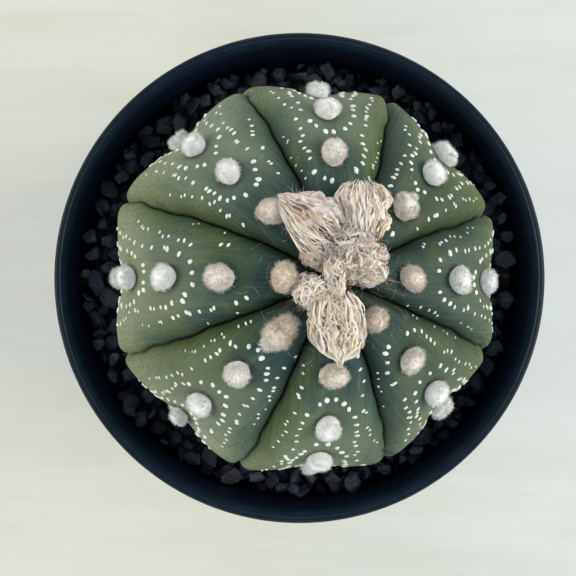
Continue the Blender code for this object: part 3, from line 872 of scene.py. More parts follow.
def felt_hairs(plan, radius, height, rng, count, length, stand=1.0, wisps=TUFT_WISPS):
    """Fine hairs that grow out of a felt dome; neighbours lean together in small wisps."""
    share = rng.random(count) ** 0.30 * 0.995
    angle = rng.uniform(0.0, 2.0 * math.pi, count)
    x, y = share * radius * np.cos(angle), share * radius * np.sin(angle)
    lift = dome_profile(share, height)
    root = plan(x * 0.95, y * 0.95, lift * 0.95)
    middle = plan(np.zeros(1), np.zeros(1), 0.3 * height * np.ones(1))
    out = unit(root - middle)
    seeds = root[rng.integers(count, size=wisps)]
    wisp = np.argmin(np.linalg.norm(root[:, None] - seeds[None], axis=-1), axis=1)
    lean = unit(rng.normal(size=(wisps, 3)))
    gather = seeds[wisp] + 0.9 * length * unit(seeds[wisp] - middle) - root
    own = unit(rng.normal(size=(count, 3)))
    out = unit(out + 0.35 * stand * lean[wisp] + 0.35 * stand * own + 0.45 * unit(gather))
    curl = 0.35 * unit(np.cross(out, own)) + 0.25 * lean[wisp]
    reach = length * rng.uniform(0.5, 1.25, count)
    t = np.array((0.0, 0.45, 1.0))[None, :, None]
    paths = root[:, None] + reach[:, None, None] * (out[:, None] * t + curl[:, None] * t * t)
    thick = 0.020 * MM * rng.uniform(0.7, 1.3, (count, 1)) * np.array((1.0, 0.85, 0.25))[None]
    verts, faces = tubes(paths, thick, thick, 3, np.zeros(count), rng)
    return verts, faces, share


def joined(parts):
    """Several (points, faces, tone) groups as one list of points, faces and tones."""
    points, faces, tones = [], [], []
    offset = 0
    for group_points, group_faces, tone in parts:
        points.append(group_points)
        faces.extend([tuple(i + offset for i in face) for face in group_faces])
        tones.append(np.broadcast_to(tone, (len(group_points),)))
        offset += len(group_points)
    return np.vstack(points), faces, np.concatenate(tones)


def tuft_parts(plan, radius, height, age, rng, hairs=TUFT_HAIRS, length=0.55 * MM, pit=0.0):
    """One tuft of felt: packed wool, hairs standing out of it, browner in its middle."""
    core_points, core_faces = felt_dome(plan, radius * TUFT_CORE, height * TUFT_CORE, rng, 0.06)
    hair_points, hair_faces, share = felt_hairs(plan, radius, height, rng, hairs, length)
    middle = pit * np.exp(-((share / 0.34) ** 2))
    hair_tone = np.clip(age + middle + rng.normal(0.0, 0.07, hairs), 0.0, 1.0)
    core_tone = age + 0.02 + 0.3 * pit
    return [(core_points, core_faces, core_tone), (hair_points, hair_faces, np.repeat(hair_tone, 9))]


def shifted(plan, along, across):
    """The same plan with its middle moved, in metres along and across."""
    return lambda x, y, lift: plan(x + along, y + across, lift)


def drawn_out(plan, radius, turn, stretch, tip):
    """The same plan stretched one way, its outline drawn to a low point at that end."""

    def plan_there(x, y, lift):
        along = x * math.cos(turn) + y * math.sin(turn)
        across = y * math.cos(turn) - x * math.sin(turn)
        along = stretch * (along + tip * np.maximum(along, 0.0) ** 3 / radius**2)
        across = across / stretch
        there_x = along * math.cos(turn) - across * math.sin(turn)
        there_y = along * math.sin(turn) + across * math.cos(turn)
        return plan(there_x, there_y, lift)

    return plan_there


def tuft_object(index, rib, arc, material):
    rng = np.random.default_rng(1000 + index)
    plan = rib_plan(rib, arc)
    age = np.interp(arc / MM, (8.0, 12.0, 19.0, 28.0), (0.40, 0.34, 0.18, 0.0))
    pit = np.interp(arc / MM, (8.0, 14.0, 20.0, 24.0), (0.5, 0.45, 0.2, 0.0)) * rng.uniform(0.4, 1.2)
    small = 1.0 if arc < 44.0 * MM else 0.84
    radius = TUFT_RADIUS * small * rng.uniform(0.92, 1.06)
    height = TUFT_HEIGHT * small * rng.uniform(0.88, 1.1)
    turn, stretch = rng.uniform(0.0, 2.0 * math.pi), rng.uniform(1.0, 1.1)
    tip = rng.uniform(0.0, 0.12)
    if index == 3:
        parts = []
        for along, size, rise, tone, hairs in (
            (-0.9, 2.2, 2.6, 0.42, 1400),
            (0.7, 2.35, 2.9, 0.30, 1500),
            (2.3, 1.35, 2.0, 0.06, 500),
            (3.3, 0.8, 1.4, 0.0, 300),
        ):
            place = shifted(plan, along * MM, -0.2 * MM)
            parts += tuft_parts(place, size * MM, rise * MM, tone, rng, hairs, 0.7 * MM, 0.1)
    else:
        parts = tuft_parts(drawn_out(plan, radius, turn, stretch, tip), radius, height, age, rng, pit=pit)
    if index == 7:
        nub = shifted(plan, 2.6 * MM, 0.1 * MM)
        parts += tuft_parts(nub, 0.7 * MM, 1.3 * MM, 0.0, rng, 260, 0.5 * MM)
    points, faces, tone = joined(parts)
    tuft = mesh_object(f"felt_tuft_{index + 1:02d}", to_world(points), faces, material, {"tone": tone})
    node = f"wool_tuft_{index:02d}"
    place_piece(tuft, "felt", *((node,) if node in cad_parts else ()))
    return tuft


def make_tufts(material):
    for index, rib, arc in areoles():
        if f"wool_tuft_{index:02d}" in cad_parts:
            tuft_object(index, rib, arc, material)


# ---------------------------------------------------------------- pot


def turned(name, profile, material, steps):
    """A profile of (radius, z) points from axis to axis, turned into a closed mesh."""
    points = np.array(profile)
    inner = points[1:-1]
    angle = spokes(steps)
    radius, z = inner[:, :1], inner[:, 1:] * np.ones(steps)
    rings = np.stack((radius * np.cos(angle), radius * np.sin(angle), z), axis=-1).reshape(-1, 3)
    verts = np.vstack((rings, (0.0, 0.0, points[0, 1]), (0.0, 0.0, points[-1, 1])))
    return mesh_object(name, verts, closed_faces(len(inner), steps, len(rings), len(rings) + 1), material)


POT_STEPS = 288
LIP_WIDTH = 2.6 * MM
LIP_HEIGHT = 3.0 * MM
LIP_ROUND = 0.9 * MM
COLLAR_BOTTOM = 62.0 * MM
COLLAR_STEP = 1.5 * MM
COLLAR_DRAFT = 0.045
WALL = 1.2 * MM
BASE_RADIUS = 31.5 * MM
FOOT_HEIGHT = 2.5 * MM
FOOT_WIDTH = 2.6 * MM
FLOOR_THICKNESS = 1.5 * MM
FLOOR_CORNER = 1.5 * MM
DRAIN_RADIUS = 3.5 * MM
DRAIN_CIRCLE_RADIUS = 19.0 * MM
DRAIN_COUNT = 6


def inner_wall(z):
    """The pot's inside radius: a nearly straight collar over a tapering wall, as in the CAD."""
    collar_inner = RIM_RADIUS - LIP_WIDTH
    if z >= COLLAR_BOTTOM:
        return collar_inner - (POT_HEIGHT - z) * COLLAR_DRAFT
    step_radius = collar_inner - (POT_HEIGHT - COLLAR_BOTTOM) * COLLAR_DRAFT - WALL
    base_inner = BASE_RADIUS - WALL
    return base_inner + (step_radius - base_inner) * z / COLLAR_BOTTOM


def rounded(corners, radius, steps=5):
    """A profile with each corner between its ends eased by a short curve."""
    points = [corners[0]]
    for before, corner, after in zip(corners, corners[1:], corners[2:]):
        before, corner, after = (Vector(p) for p in (before, corner, after))
        reach = min(radius, 0.45 * (before - corner).length, 0.45 * (after - corner).length)
        start = corner + (before - corner).normalized() * reach
        end = corner + (after - corner).normalized() * reach
        for step in range(steps + 1):
            t = step / steps
            points.append(tuple(start.lerp(corner, t).lerp(corner.lerp(end, t), t)))
    points.append(corners[-1])
    return points


def pot_profile():
    """From the floor inside, up the wall, over the lip and down outside to the foot."""
    floor_top = FOOT_HEIGHT + FLOOR_THICKNESS
    inside = [
        (inner_wall(floor_top) - FLOOR_CORNER, floor_top),
        (inner_wall(floor_top + FLOOR_CORNER), floor_top + FLOOR_CORNER),
        (inner_wall(COLLAR_BOTTOM - COLLAR_STEP), COLLAR_BOTTOM - COLLAR_STEP),
        (inner_wall(COLLAR_BOTTOM), COLLAR_BOTTOM),
        (inner_wall(POT_HEIGHT - 1.1 * MM), POT_HEIGHT - 1.1 * MM),
    ]
    lip = [
        (RIM_RADIUS - LIP_WIDTH + 0.35 * MM, POT_HEIGHT - 0.12 * MM),
        (RIM_RADIUS - 1.35 * MM, POT_HEIGHT),
        (RIM_RADIUS - 1.05 * MM, POT_HEIGHT - 0.16 * MM),
        (RIM_RADIUS - 0.45 * MM, POT_HEIGHT - 0.22 * MM),
        (RIM_RADIUS, POT_HEIGHT - LIP_ROUND),
        (RIM_RADIUS, POT_HEIGHT - LIP_HEIGHT),
    ]
    lip_under = POT_HEIGHT - LIP_HEIGHT
    outside = [
        (inner_wall(lip_under) + WALL, lip_under),
        (inner_wall(COLLAR_BOTTOM) + WALL, COLLAR_BOTTOM),
        (inner_wall(COLLAR_BOTTOM - COLLAR_STEP) + WALL, COLLAR_BOTTOM - COLLAR_STEP),
        (BASE_RADIUS + 0.3 * MM, 1.0 * MM),
        (BASE_RADIUS - 0.4 * MM, 0.0),
        (BASE_RADIUS - FOOT_WIDTH, 0.0),
        (BASE_RADIUS - FOOT_WIDTH - 0.4 * MM, FOOT_HEIGHT),
    ]
    corners = inside + lip + outside
    return [(0.0, floor_top), *rounded(corners, 0.45 * MM), (0.0, FOOT_HEIGHT)]


def pot_object(material):
    """The nursery pot, turned finely, with its seven drain holes cut through the floor."""
    pot = turned("nursery_pot", pot_profile(), material, POT_STEPS)
    bm = bmesh.new()
    places = [(0.0, 0.0)]
    for index in range(DRAIN_COUNT):
        angle = 2.0 * math.pi * index / DRAIN_COUNT
        places.append((DRAIN_CIRCLE_RADIUS * math.cos(angle), DRAIN_CIRCLE_RADIUS * math.sin(angle)))
    height = FOOT_HEIGHT + FLOOR_THICKNESS
    for x, y in places:
        bmesh.ops.create_cone(
            bm, cap_ends=True, segments=48, radius1=DRAIN_RADIUS, radius2=DRAIN_RADIUS, depth=2.0 * height,
            matrix=Matrix.Translation((x, y, height)),
        )
    mesh = bpy.data.meshes.new("drain_cutter")
    bm.to_mesh(mesh)
    bm.free()
    cutter = bpy.data.objects.new("drain_cutter", mesh)
    bpy.context.scene.collection.objects.link(cutter)
    boolean = pot.modifiers.new("drains", "BOOLEAN")
    boolean.operation = "DIFFERENCE"
    boolean.solver = "EXACT"
    boolean.object = cutter
    shape = bpy.data.meshes.new_from_object(pot.evaluated_get(bpy.context.evaluated_depsgraph_get()))
    pot.modifiers.clear()
    pot.data = shape
    bpy.data.objects.remove(cutter, do_unlink=True)
    shape.shade_smooth()
    shape.set_sharp_from_angle(angle=math.radians(50.0))
    place_piece(pot, "black_plastic", "pot")
    return pot


# ---------------------------------------------------------------- gravel

GRAIN_SHAPES = 14
GRAIN_COUNT = 760
WALL_HEAP = 1.8 * MM
GRAIN_TRIES = 12
GRAIN_FLOOR = GRAVEL_TOP - 3.6 * MM
GRAIN_GROUPS = 4


def grain_shape(seed):
    """A crushed stone: the hull of a few random points, its edges worn, its faces uneven.

    Blender gives the hull's points and faces in no fixed order, so they are sorted at the end.
    """
    rng = np.random.default_rng(seed)
    bm = bmesh.new()
    for point in unit(rng.normal(size=(rng.integers(12, 19), 3))) * rng.uniform(0.82, 1.0, (1, 3)):
        bm.verts.new(point)
    bmesh.ops.convex_hull(bm, input=bm.verts)
    bmesh.ops.dissolve_limit(bm, angle_limit=math.radians(9.0), verts=bm.verts, edges=bm.edges)
    bmesh.ops.bevel(
        bm, geom=bm.edges[:], offset=0.10, segments=2, profile=0.6, affect="EDGES", clamp_overlap=True
    )
    bmesh.ops.triangulate(bm, faces=bm.faces[:])
    bmesh.ops.subdivide_edges(bm, edges=bm.edges[:], cuts=1)
    bmesh.ops.remove_doubles(bm, verts=bm.verts[:], dist=0.004)
    shift = Vector((seed * 3.1, 0.0, 0.0))
    for vert in bm.verts:
        vert.co *= 1.0 + 0.10 * noise.noise(vert.co * 2.3 + shift)
    verts = sorted(bm.verts, key=lambda vert: vert.co[:])
    rank = {vert: index for index, vert in enumerate(verts)}
    faces = sorted(tuple(rank[vert] for vert in face.verts) for face in bm.faces)
    points = np.array([vert.co[:] for vert in verts])
    bm.free()
    return points, faces


def plant_margin(points):
    """How far out of the plant's flank each point lies, level with it, in the plant's frame."""
    local = points - PLANT_CENTRE
    x = local[..., 0] * math.cos(LEAN) - local[..., 2] * math.sin(LEAN)
    z = local[..., 0] * math.sin(LEAN) + local[..., 2] * math.cos(LEAN)
    y = local[..., 1]
    above = BODY_RADIUS * np.sqrt(np.maximum(1.0 - (z / DOME_HEIGHT) ** 2, 0.0))
    depth = np.maximum(1.0 - (z / UNDERSIDE_DEPTH) ** 2, 0.0)
    below = NECK_RADIUS + (BODY_RADIUS - NECK_RADIUS) * depth ** (UNDERSIDE_FULLNESS / 2.0)
    limit = np.where(z > 0.0, above, below)
    theta = np.where(z > 0.0, np.arcsin(np.clip(above / BODY_RADIUS, 0.0, 1.0)), math.pi / 2.0)
    place = rib_place(np.arctan2(y, x))[1]
    return np.hypot(x, y) - limit + 0.8 * relief(theta, place)


def settle_grains(rng, fixed):
    """Drop grains one by one, each to the lowest of a few free spots, like poured grit."""
    centres = [f[0] for f in fixed]
    radii = [f[1] for f in fixed]
    for _ in range(GRAIN_COUNT):
        radius = rng.choice((0.8, 1.2, 1.6, 1.95), p=(0.2, 0.25, 0.3, 0.25)) * rng.uniform(0.9, 1.1) * MM
        angle = rng.uniform(0.0, 2.0 * math.pi, GRAIN_TRIES)
        reach = inner_wall(GRAVEL_TOP) - radius - 0.1 * MM
        distance = np.sqrt(rng.uniform((23.0 * MM) ** 2, reach**2, GRAIN_TRIES))
        spots = np.stack((distance * np.cos(angle), distance * np.sin(angle)), axis=-1)
        z = np.full(GRAIN_TRIES, GRAIN_FLOOR)
        if centres:
            others = np.array(centres)
            touch = 0.86 * (radius + np.array(radii))
            flat = np.linalg.norm(spots[:, None] - others[None, :, :2], axis=-1)
            lift = np.sqrt(np.maximum(touch[None] ** 2 - flat**2, 0.0)) + others[None, :, 2]
            z = np.maximum(z, np.where(flat < touch[None], lift, 0.0).max(axis=1))
        points = np.column_stack((spots, z))
        heap = WALL_HEAP * smoothstep(34.0 * MM, 41.0 * MM, distance)
        free = (plant_margin(points) > 0.9 * radius) & (z < GRAVEL_TOP + 0.2 * MM + heap)
        if free.any():
            best = np.argmin(np.where(free, z, 1.0))
            centres.append(points[best])
            radii.append(radius)
    count = len(fixed)
    return np.array(centres)[count:], np.array(radii)[count:]


def turned_copy(points, rng, flat):
    """Points turned at random; flat stones stay within a small tilt of lying down."""
    spin = rng.uniform(0.0, 2.0 * math.pi)
    tilt = rng.normal(0.0, 0.25 if flat else 0.7)
    roll = rng.uniform(0, 6.28)
    matrix = Matrix.Rotation(spin, 3, "Z") @ Matrix.Rotation(tilt, 3, "X") @ Matrix.Rotation(roll, 3, "Z")
    return points @ np.array(matrix).T


def gravel_bed_object(material):
    """The buried part of the gravel: a closed ring between the plant and the wall."""
    steps = 96
    angle = spokes(steps)
    spoke = np.stack((np.cos(angle), np.sin(angle)), axis=-1)
    reach = np.linspace(6.0, 41.0, 141) * MM
    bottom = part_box("gravel_bed")[0][2]
    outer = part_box("gravel_bed")[1][0] - 1.6 * MM
    top_rows = [(GRAIN_FLOOR, share) for share in (0.0, 0.35, 0.7, 1.0)]
    rows = []
    for z, share in ((bottom, 0.0), *top_rows, (bottom, 1.0)):
        points = np.concatenate(
            (reach[None, :, None] * spoke[:, None], np.full((steps, len(reach), 1), z)), axis=-1
        )
        blocked = plant_margin(points) < 0.4 * MM
        inner = np.array([reach[min(np.max(np.nonzero(row)[0], initial=0) + 1, 140)] for row in blocked])
        radius = inner + (outer - inner) * share
        height = np.full(steps, z)
        if 0.0 < share < 1.0:
            places = zip(*(radius[:, None] * spoke).T)
            height = z + 0.5 * MM * np.array([noise.noise(Vector((x, y, z)) * 500.0) for x, y in places])
        rows.append(np.column_stack((radius[:, None] * spoke, height)))
    faces = grid_faces(len(rows), steps, True).tolist()
    last = (len(rows) - 1) * steps
    for i in range(steps):
        j = (i + 1) % steps
        faces.append((last + i, i, j, last + j))
    verts = np.vstack(rows)
    outward = [face[::-1] for face in faces]
    bed = mesh_object("gravel_under", verts, outward, material, {"tone": np.zeros(len(verts))})
    place_piece(bed, "lava_gravel", "gravel_bed")


def make_gravel(material):
    rng = np.random.default_rng(7)
    shapes = [grain_shape(seed) for seed in range(GRAIN_SHAPES)]
    fixed = []
    for number in range(1, 9):
        low, high = (np.array(corner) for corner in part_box(f"stone_{number}"))
        centre = (low + high) / 2.0
        size = (high - low) / 2.0
        centre[2] = GRAVEL_TOP + 0.55 * size[2]
        points, faces = shapes[number]
        stone = turned_copy(points, rng, True) * size * 1.08 + centre
        tone = np.full(len(stone), rng.uniform(0.3, 1.0))
        look = mesh_object(f"lava_stone_{number}", stone, faces, material, {"tone": tone}, smooth=False)
        place_piece(look, "lava_gravel", f"stone_{number}")
        fixed.append((centre, 0.8 * float(size.mean())))
    centres, radii = settle_grains(rng, fixed)
    groups = [[] for _ in range(GRAIN_GROUPS)]
    for number, (centre, radius) in enumerate(zip(centres, radii)):
        points, faces = shapes[rng.integers(GRAIN_SHAPES)]
        form = np.array((rng.uniform(1.05, 1.4), rng.uniform(0.85, 1.05), rng.uniform(0.6, 0.85)))
        stone = turned_copy(points * form * radius, rng, False) + centre
        groups[number % GRAIN_GROUPS].append((stone, faces, rng.beta(1.5, 1.9)))
    for number, group in enumerate(groups, start=1):
        points, faces, tone = joined(group)
        name = f"gravel_grains_{number}"
        grains = mesh_object(name, points, faces, material, {"tone": tone}, smooth=False)
        place_piece(grains, "lava_gravel")
    gravel_bed_object(material)


# ---------------------------------------------------------------- dried flowers


STRAND_POINTS = 22
STRAY_WIDTH = 0.022
LUMP_RISE = 0.75  # a lump's middle stands this share of its half height over the skin
UPWARD = np.array((0.0, 0.0, 0.4))


class Seat:
    """A place on the skin with its own axes: x along a heading, z straight out."""

    def __init__(self, x, y, heading, sink=0.0):
        plan = crown_plan(x * MM, y * MM, math.radians(heading))
        zero = np.zeros(1)
        origin = to_world(plan(zero, zero, zero))[0]
        ahead = to_world(plan(zero + 1.0 * MM, zero, zero))[0]
        above = to_world(plan(zero, zero, zero + 1.0 * MM))[0]
        self.z = unit(above - origin)
        self.x = unit(ahead - origin)
        self.x = unit(self.x - self.z * np.dot(self.x, self.z))
        self.y = np.cross(self.z, self.x)
        self.origin = origin - sink * MM * self.z

    def world(self, points):
        """Millimetres in the seat's axes to metres in the scene."""
        x, y, z = (points[..., i, None] * MM for i in range(3))
        return self.origin + x * self.x + y * self.y + z * self.z


def envelope(t, stops):
    """A width along a flower from (share, width) stops."""
    share, width = zip(*stops)
    return np.interp(t, share, width)


def strand_values(rng, count, per_point, points, length, tone, spread=0.12):
    """Tone and lengthwise place for every vertex of a bundle of strands."""
    tones = np.repeat(np.clip(tone + rng.normal(0.0, spread, count), 0.0, 1.0), points * per_point)
    first = np.repeat(rng.uniform(0.0, 50.0, count), points * per_point)
    round_it = np.tile(np.cos(2.0 * math.pi * np.arange(per_point) / per_point) * 0.5, points * count)
    second = np.tile(np.repeat(np.linspace(0.0, length, points), per_point), count)
    return tones, np.column_stack((first + round_it, second, np.zeros(len(first))))


def petals(
    seat, length, stops, rng, height, count, width, tone, thick=0.05, reach=(0.8, 1.05), cover=(0.0, 1.0),
    drifts=(0.25, 0.3), roll=0.5, sides=8, short=0.35, angles=(-0.22, 1.22), lumps=0.0,
):
    """Ribbons that run along a flower, wandering over the swell of its widths, all in millimetres.

    reach is how far out they lie as a share of the width, cover where they start and end, drifts how
    much they stray round and aside, short how much of the ends they may miss, angles where round the
    flower they lie as a share of half a turn, and lumps how uneven the swell is.
    """
    points = STRAND_POINTS
    span = np.linspace(0.0, 1.0, points)[None, :]
    start = cover[0] + rng.uniform(0.0, short, (count, 1)) ** 1.5
    end = cover[1] - rng.uniform(0.0, short, (count, 1)) ** 1.5
    t = start + (end - start) * span
    angle = math.pi * rng.uniform(*angles, (count, 1)) + drift(rng, count, points, drifts[0])
    uneven = 0.6 * np.sin(4.5 * t + 2.0 * angle + length)
    uneven = uneven + 0.4 * np.sin(8.0 * t - 3.0 * angle + 1.7 * length)
    swell = envelope(t, stops) * (1.0 + lumps * uneven)
    swell = swell * (rng.uniform(*reach, (count, 1)) + drift(rng, count, points, 0.05))
    top = max(stop[1] for stop in stops)
    x = length * (t - 0.5) + drift(rng, count, points, 0.12)
    y = swell * np.cos(angle) + drift(rng, count, points, drifts[1] * 0.4)
    z = height * (0.5 + 0.5 * np.sin(angle) * swell / top) + drift(rng, count, points, drifts[1] * 0.4)
    local = np.stack((x, y, np.maximum(z, 0.1)), axis=-1)
    centre = np.stack((x * 0.9, 0.0 * y, np.full_like(z, height * 0.45)), axis=-1)
    paths = seat.world(local)
    outward = unit(paths - seat.world(centre))
    taper = np.minimum(1.0, 0.25 + 4.0 * np.minimum(span, 1.0 - span))
    wide = width * rng.uniform(0.55, 1.45, (count, 1)) * taper * MM
    wide = wide * (1.0 + drift(rng, count, points, 0.15))
    thin = np.minimum(thick * MM, 0.6 * wide) * np.ones_like(wide)
    lean = drift(rng, count, points, roll) + rng.normal(0.0, roll, (count, 1))
    verts, faces = tubes(paths, wide, thin, sides, lean, rng, outward)
    tones, strand = strand_values(rng, count, sides, points, length, tone)
    return verts, faces, tones, strand


def wool(seat, half, rng, count, width, tone, length=4.0, turning=1.1, reach=(0.88, 1.06)):
    """Threads that wander and loop over a lump like tangled wool; half is the lump's half sizes."""
    points = STRAND_POINTS
    size = float(np.mean(half))
    here = unit(rng.normal(size=(count, 3)) + UPWARD)
    ahead = unit(np.cross(here, rng.normal(size=(count, 3))))
    step = length * rng.uniform(0.5, 1.3, (count, 1)) / size / points
    turn_rate = drift(rng, count, points, turning) * 0.45 + rng.normal(0.0, 0.12 * turning, (count, 1))
    track = []
    for k in range(points):
        track.append(here)
        side = np.cross(here, ahead)
        ahead = unit(ahead + turn_rate[:, k : k + 1] * side)
        here = unit(here + step * ahead)
        ahead = unit(ahead - here * np.sum(here * ahead, axis=1, keepdims=True))
    out = rng.uniform(*reach, (count, 1)) + drift(rng, count, points, 0.045)
    local = np.stack(track, axis=1) * out[..., None] * np.array(half)
    local[..., 2] = np.maximum(local[..., 2] + half[2] * LUMP_RISE, 0.08)
    paths = seat.world(local)
    span = np.linspace(0.0, 1.0, points)[None, :]
    taper = np.minimum(1.0, 0.25 + 6.0 * np.minimum(span, 1.0 - span))
    wide = width * rng.uniform(0.6, 1.5, (count, 1)) * taper * MM
    verts, faces = tubes(paths, wide, 0.6 * wide, 5, rng.normal(0.0, 2.0, count), rng)
    tones, strand = strand_values(rng, count, 5, points, length, tone)
    return verts, faces, tones, strand


def stray_hairs(seat, half, rng, count, length, tone=0.1):
    """Loose hairs that stand off a lump and bend over."""
    out = unit(rng.normal(size=(count, 3)) + np.array((0.0, 0.0, 0.35)))
    bend = unit(rng.normal(size=(count, 3)))
    points = 7
    t = np.linspace(0.0, 1.0, points)[None, :, None]
    reach = (length * rng.uniform(0.4, 1.3, count))[:, None, None]
    arch = 0.8 * out[:, None] * t + 0.6 * bend[:, None] * t * t
    local = out[:, None] * np.array(half) * 0.93 + reach * arch
    local[..., 2] = np.maximum(local[..., 2] + half[2] * LUMP_RISE, 0.1)
    paths = seat.world(local)
    wide = STRAY_WIDTH * MM * np.linspace(1.0, 0.35, points)[None, :] * rng.uniform(0.7, 1.4, (count, 1))
    verts, faces = tubes(paths, wide, wide, 3, np.zeros(count), rng)
    tones, strand = strand_values(rng, count, 3, points, length, tone)
    return verts, faces, tones, strand


def lump(seat, length, stops, height, rng, tone, rows=70, sides=110, crumple=0.30):
    """The shrunken inside of a flower: a crumpled closed spindle folded along its length. Its dark brown is
    partly its own and partly painted shade for the gaps between the petals; its folds get painted shade and
    its ridges painted highlights.
    """
    t = np.linspace(0.0, 1.0, rows)
    phase = rng.uniform(0.0, 50.0)
    widths = np.maximum(envelope(t, stops), 0.08) * 0.84
    top = max(stop[1] for stop in stops)
    angle = spokes(sides)
    rings, tones = [], []
    across, up = np.cos(angle), np.sin(angle)
    for share, width in zip(t, widths):
        at = share * length
        fold = [noise.noise(Vector((a * 2.6 + phase, b * 2.6, at * 0.22))) for a, b in zip(across, up)]
        rough = [noise.noise(Vector((a * width, b * width, at + phase)) * 0.9) for a, b in zip(across, up)]
        ridge = 1.0 - 2.2 * np.abs(fold)
        grow = 1.0 + crumple * (ridge - 0.5) + 0.18 * np.array(rough)
        x = length * (share - 0.5) * np.ones(sides)
        z = height * (0.46 + 0.46 * up * grow * width / top)
        rings.append(np.stack((x, width * across * grow, z), axis=-1))
        # Painted light: a lighter tone on the ridges and painted shade in the folds between them.
        tones.append(np.clip(tone - 0.5 * (ridge - 0.55), 0.0, 1.0))
    points = np.vstack(rings)
    faces = [face[::-1] for face in grid_faces(rows, sides, True).tolist()]
    faces.append(tuple(range(sides)))
    faces.append(tuple(range(rows * sides - 1, (rows - 1) * sides - 1, -1)))
    strand = np.column_stack((points[:, 1] * 2.0, points[:, 0], np.zeros(len(points))))
    return seat.world(points), faces, np.concatenate(tones), strand


def flower_object(name, parts, material, *replaced):
    points, faces, tone = joined([part[:3] for part in parts])
    strand = np.vstack([part[3] for part in parts])
    flower = mesh_object(name, points, faces, material, {"tone": tone, "strand": strand})
    place_piece(flower, "dried_petals", *replaced)
    return flower


def make_flowers(material):
    northwest_flower(material)
    northeast_flower(material)
    east_flower(material)
    south_flower(material)
    west_flower(material)
    crown_tangle(material)
    loose_threads(material)


def northwest_flower(material):
    """A collapsed bud lying down, its folds gathered to a pale point away from the crown."""
    rng = np.random.default_rng(21)
    seat = Seat(-5.2, 9.4, 139.0)
    length = 10.4
    stops = (
        (0.0, 3.6), (0.1, 4.2), (0.25, 4.2), (0.45, 3.6), (0.7, 2.6), (0.88, 1.6), (0.96, 1.1), (1.0, 0.5),
    )
    ribbons = partial(petals, seat, length, stops, rng)
    parts = [
        lump(seat, length * 0.96, stops, 3.4, rng, 0.88, crumple=0.4),
        ribbons(3.7, 24, 0.60, 0.40, 0.05, (0.8, 1.04), (-0.05, 1.0), (0.06, 0.2), 0.9),
        ribbons(4.2, 14, 0.80, 0.50, 0.05, (0.95, 1.1), (0.0, 0.92), (0.05, 0.2), 0.7, angles=(0.4, 1.05)),
        ribbons(4.1, 36, 0.19, 0.28, 0.05, (0.8, 1.12), (-0.10, 1.0), (0.07, 0.2)),
        ribbons(4.3, 70, 0.075, 0.05, 0.04, (0.85, 1.15), (-0.12, 1.0), (0.09, 0.3), sides=5),
        ribbons(4.1, 14, 0.12, 0.66, drifts=(0.15, 0.3)),
        ribbons(4.0, 34, 0.14, 0.02, cover=(0.5, 1.04), drifts=(0.1, 0.2), short=0.2),
        stray_hairs(seat, (5.0, 3.7, 2.0), rng, 150, 1.4),
    ]
    flower_object("dried_flower_northwest", parts, material, "dried_flower_nw")


def northeast_flower(material):
    """An open head of petals with a blunt, rounded end."""
    rng = np.random.default_rng(22)
    seat = Seat(4.1, 11.1, 86.0)
    length = 9.6
    stops = (
        (0.0, 2.6), (0.16, 3.2), (0.34, 4.5), (0.52, 4.1), (0.70, 4.5), (0.86, 3.8), (0.95, 3.1), (1.0, 1.9),
    )
    ribbons = partial(petals, seat, length, stops, rng)
    parts = [
        lump(seat, length * 0.92, stops, 3.9, rng, 0.70, crumple=0.34),
        ribbons(4.2, 44, 0.52, 0.34, 0.05, (0.80, 1.04), (0.0, 1.0), (0.08, 0.2), roll=0.8, lumps=0.12),
        ribbons(4.5, 34, 0.32, 0.18, 0.05, (0.90, 1.08), (0.0, 0.98), (0.08, 0.25), roll=0.6, lumps=0.12),
        ribbons(4.6, 26, 0.15, 0.16, 0.05, (0.88, 1.1), (0.0, 1.03), (0.07, 0.25), lumps=0.12),
        ribbons(4.6, 70, 0.055, 0.05, 0.04, (0.90, 1.12), (0.0, 1.03), (0.10, 0.35), sides=5, lumps=0.12),
        ribbons(4.5, 8, 0.14, 0.62, drifts=(0.10, 0.3), lumps=0.12),
        wool(Seat(3.9, 10.6, 0.0), (3.9, 4.2, 2.4), rng, 30, 0.05, 0.12, length=5.0, reach=(0.95, 1.12)),
        stray_hairs(seat, (4.8, 4.0, 2.3), rng, 260, 1.3),
    ]
    flower_object("dried_flower_northeast", parts, material, "dried_flower_ne")


def east_flower(material):
    """A woolly knot of grey-white threads with a few brown ones looping round it."""
    rng = np.random.default_rng(23)
    seat = Seat(4.8, 2.6, 340.0)
    stops = ((0.0, 1.6), (0.2, 3.2), (0.5, 3.8), (0.8, 3.1), (1.0, 1.2))
    parts = [lump(seat, 6.8, stops, 3.8, rng, 0.62, crumple=0.3)]
    heaps = (
        (3.9, 4.4, 2.1, 2.2), (6.9, 3.3, 1.9, 1.9), (4.9, 0.7, 2.1, 2.0), (2.6, 2.4, 2.0, 2.2),
        (7.0, 0.8, 1.6, 1.6), (1.7, 4.4, 1.9, 2.2), (5.0, 2.6, 1.8, 3.0), (3.0, 0.4, 1.5, 1.7),
    )
    for x, y, half, rise in heaps:
        knot = Seat(x, y, rng.uniform(0.0, 360.0))
        size = (1.15 * half, 0.95 * half, rise)
        parts += [
            wool(knot, size, rng, 10, 0.22, 0.34, length=3.0, turning=0.6, reach=(0.88, 1.02)),
            wool(knot, size, rng, 70, 0.045, 0.27, length=3.6, reach=(0.86, 1.12)),
            wool(knot, size, rng, 16, 0.085, 0.24, length=3.6, turning=0.7, reach=(0.90, 1.12)),
            wool(knot, size, rng, 3, 0.07, 0.72, length=7.0, turning=0.5, reach=(1.0, 1.1)),
            stray_hairs(knot, size, rng, 130, 1.0, 0.27),
        ]
    flower_object("dried_flower_knot_east", parts, material, "dried_flower_east")


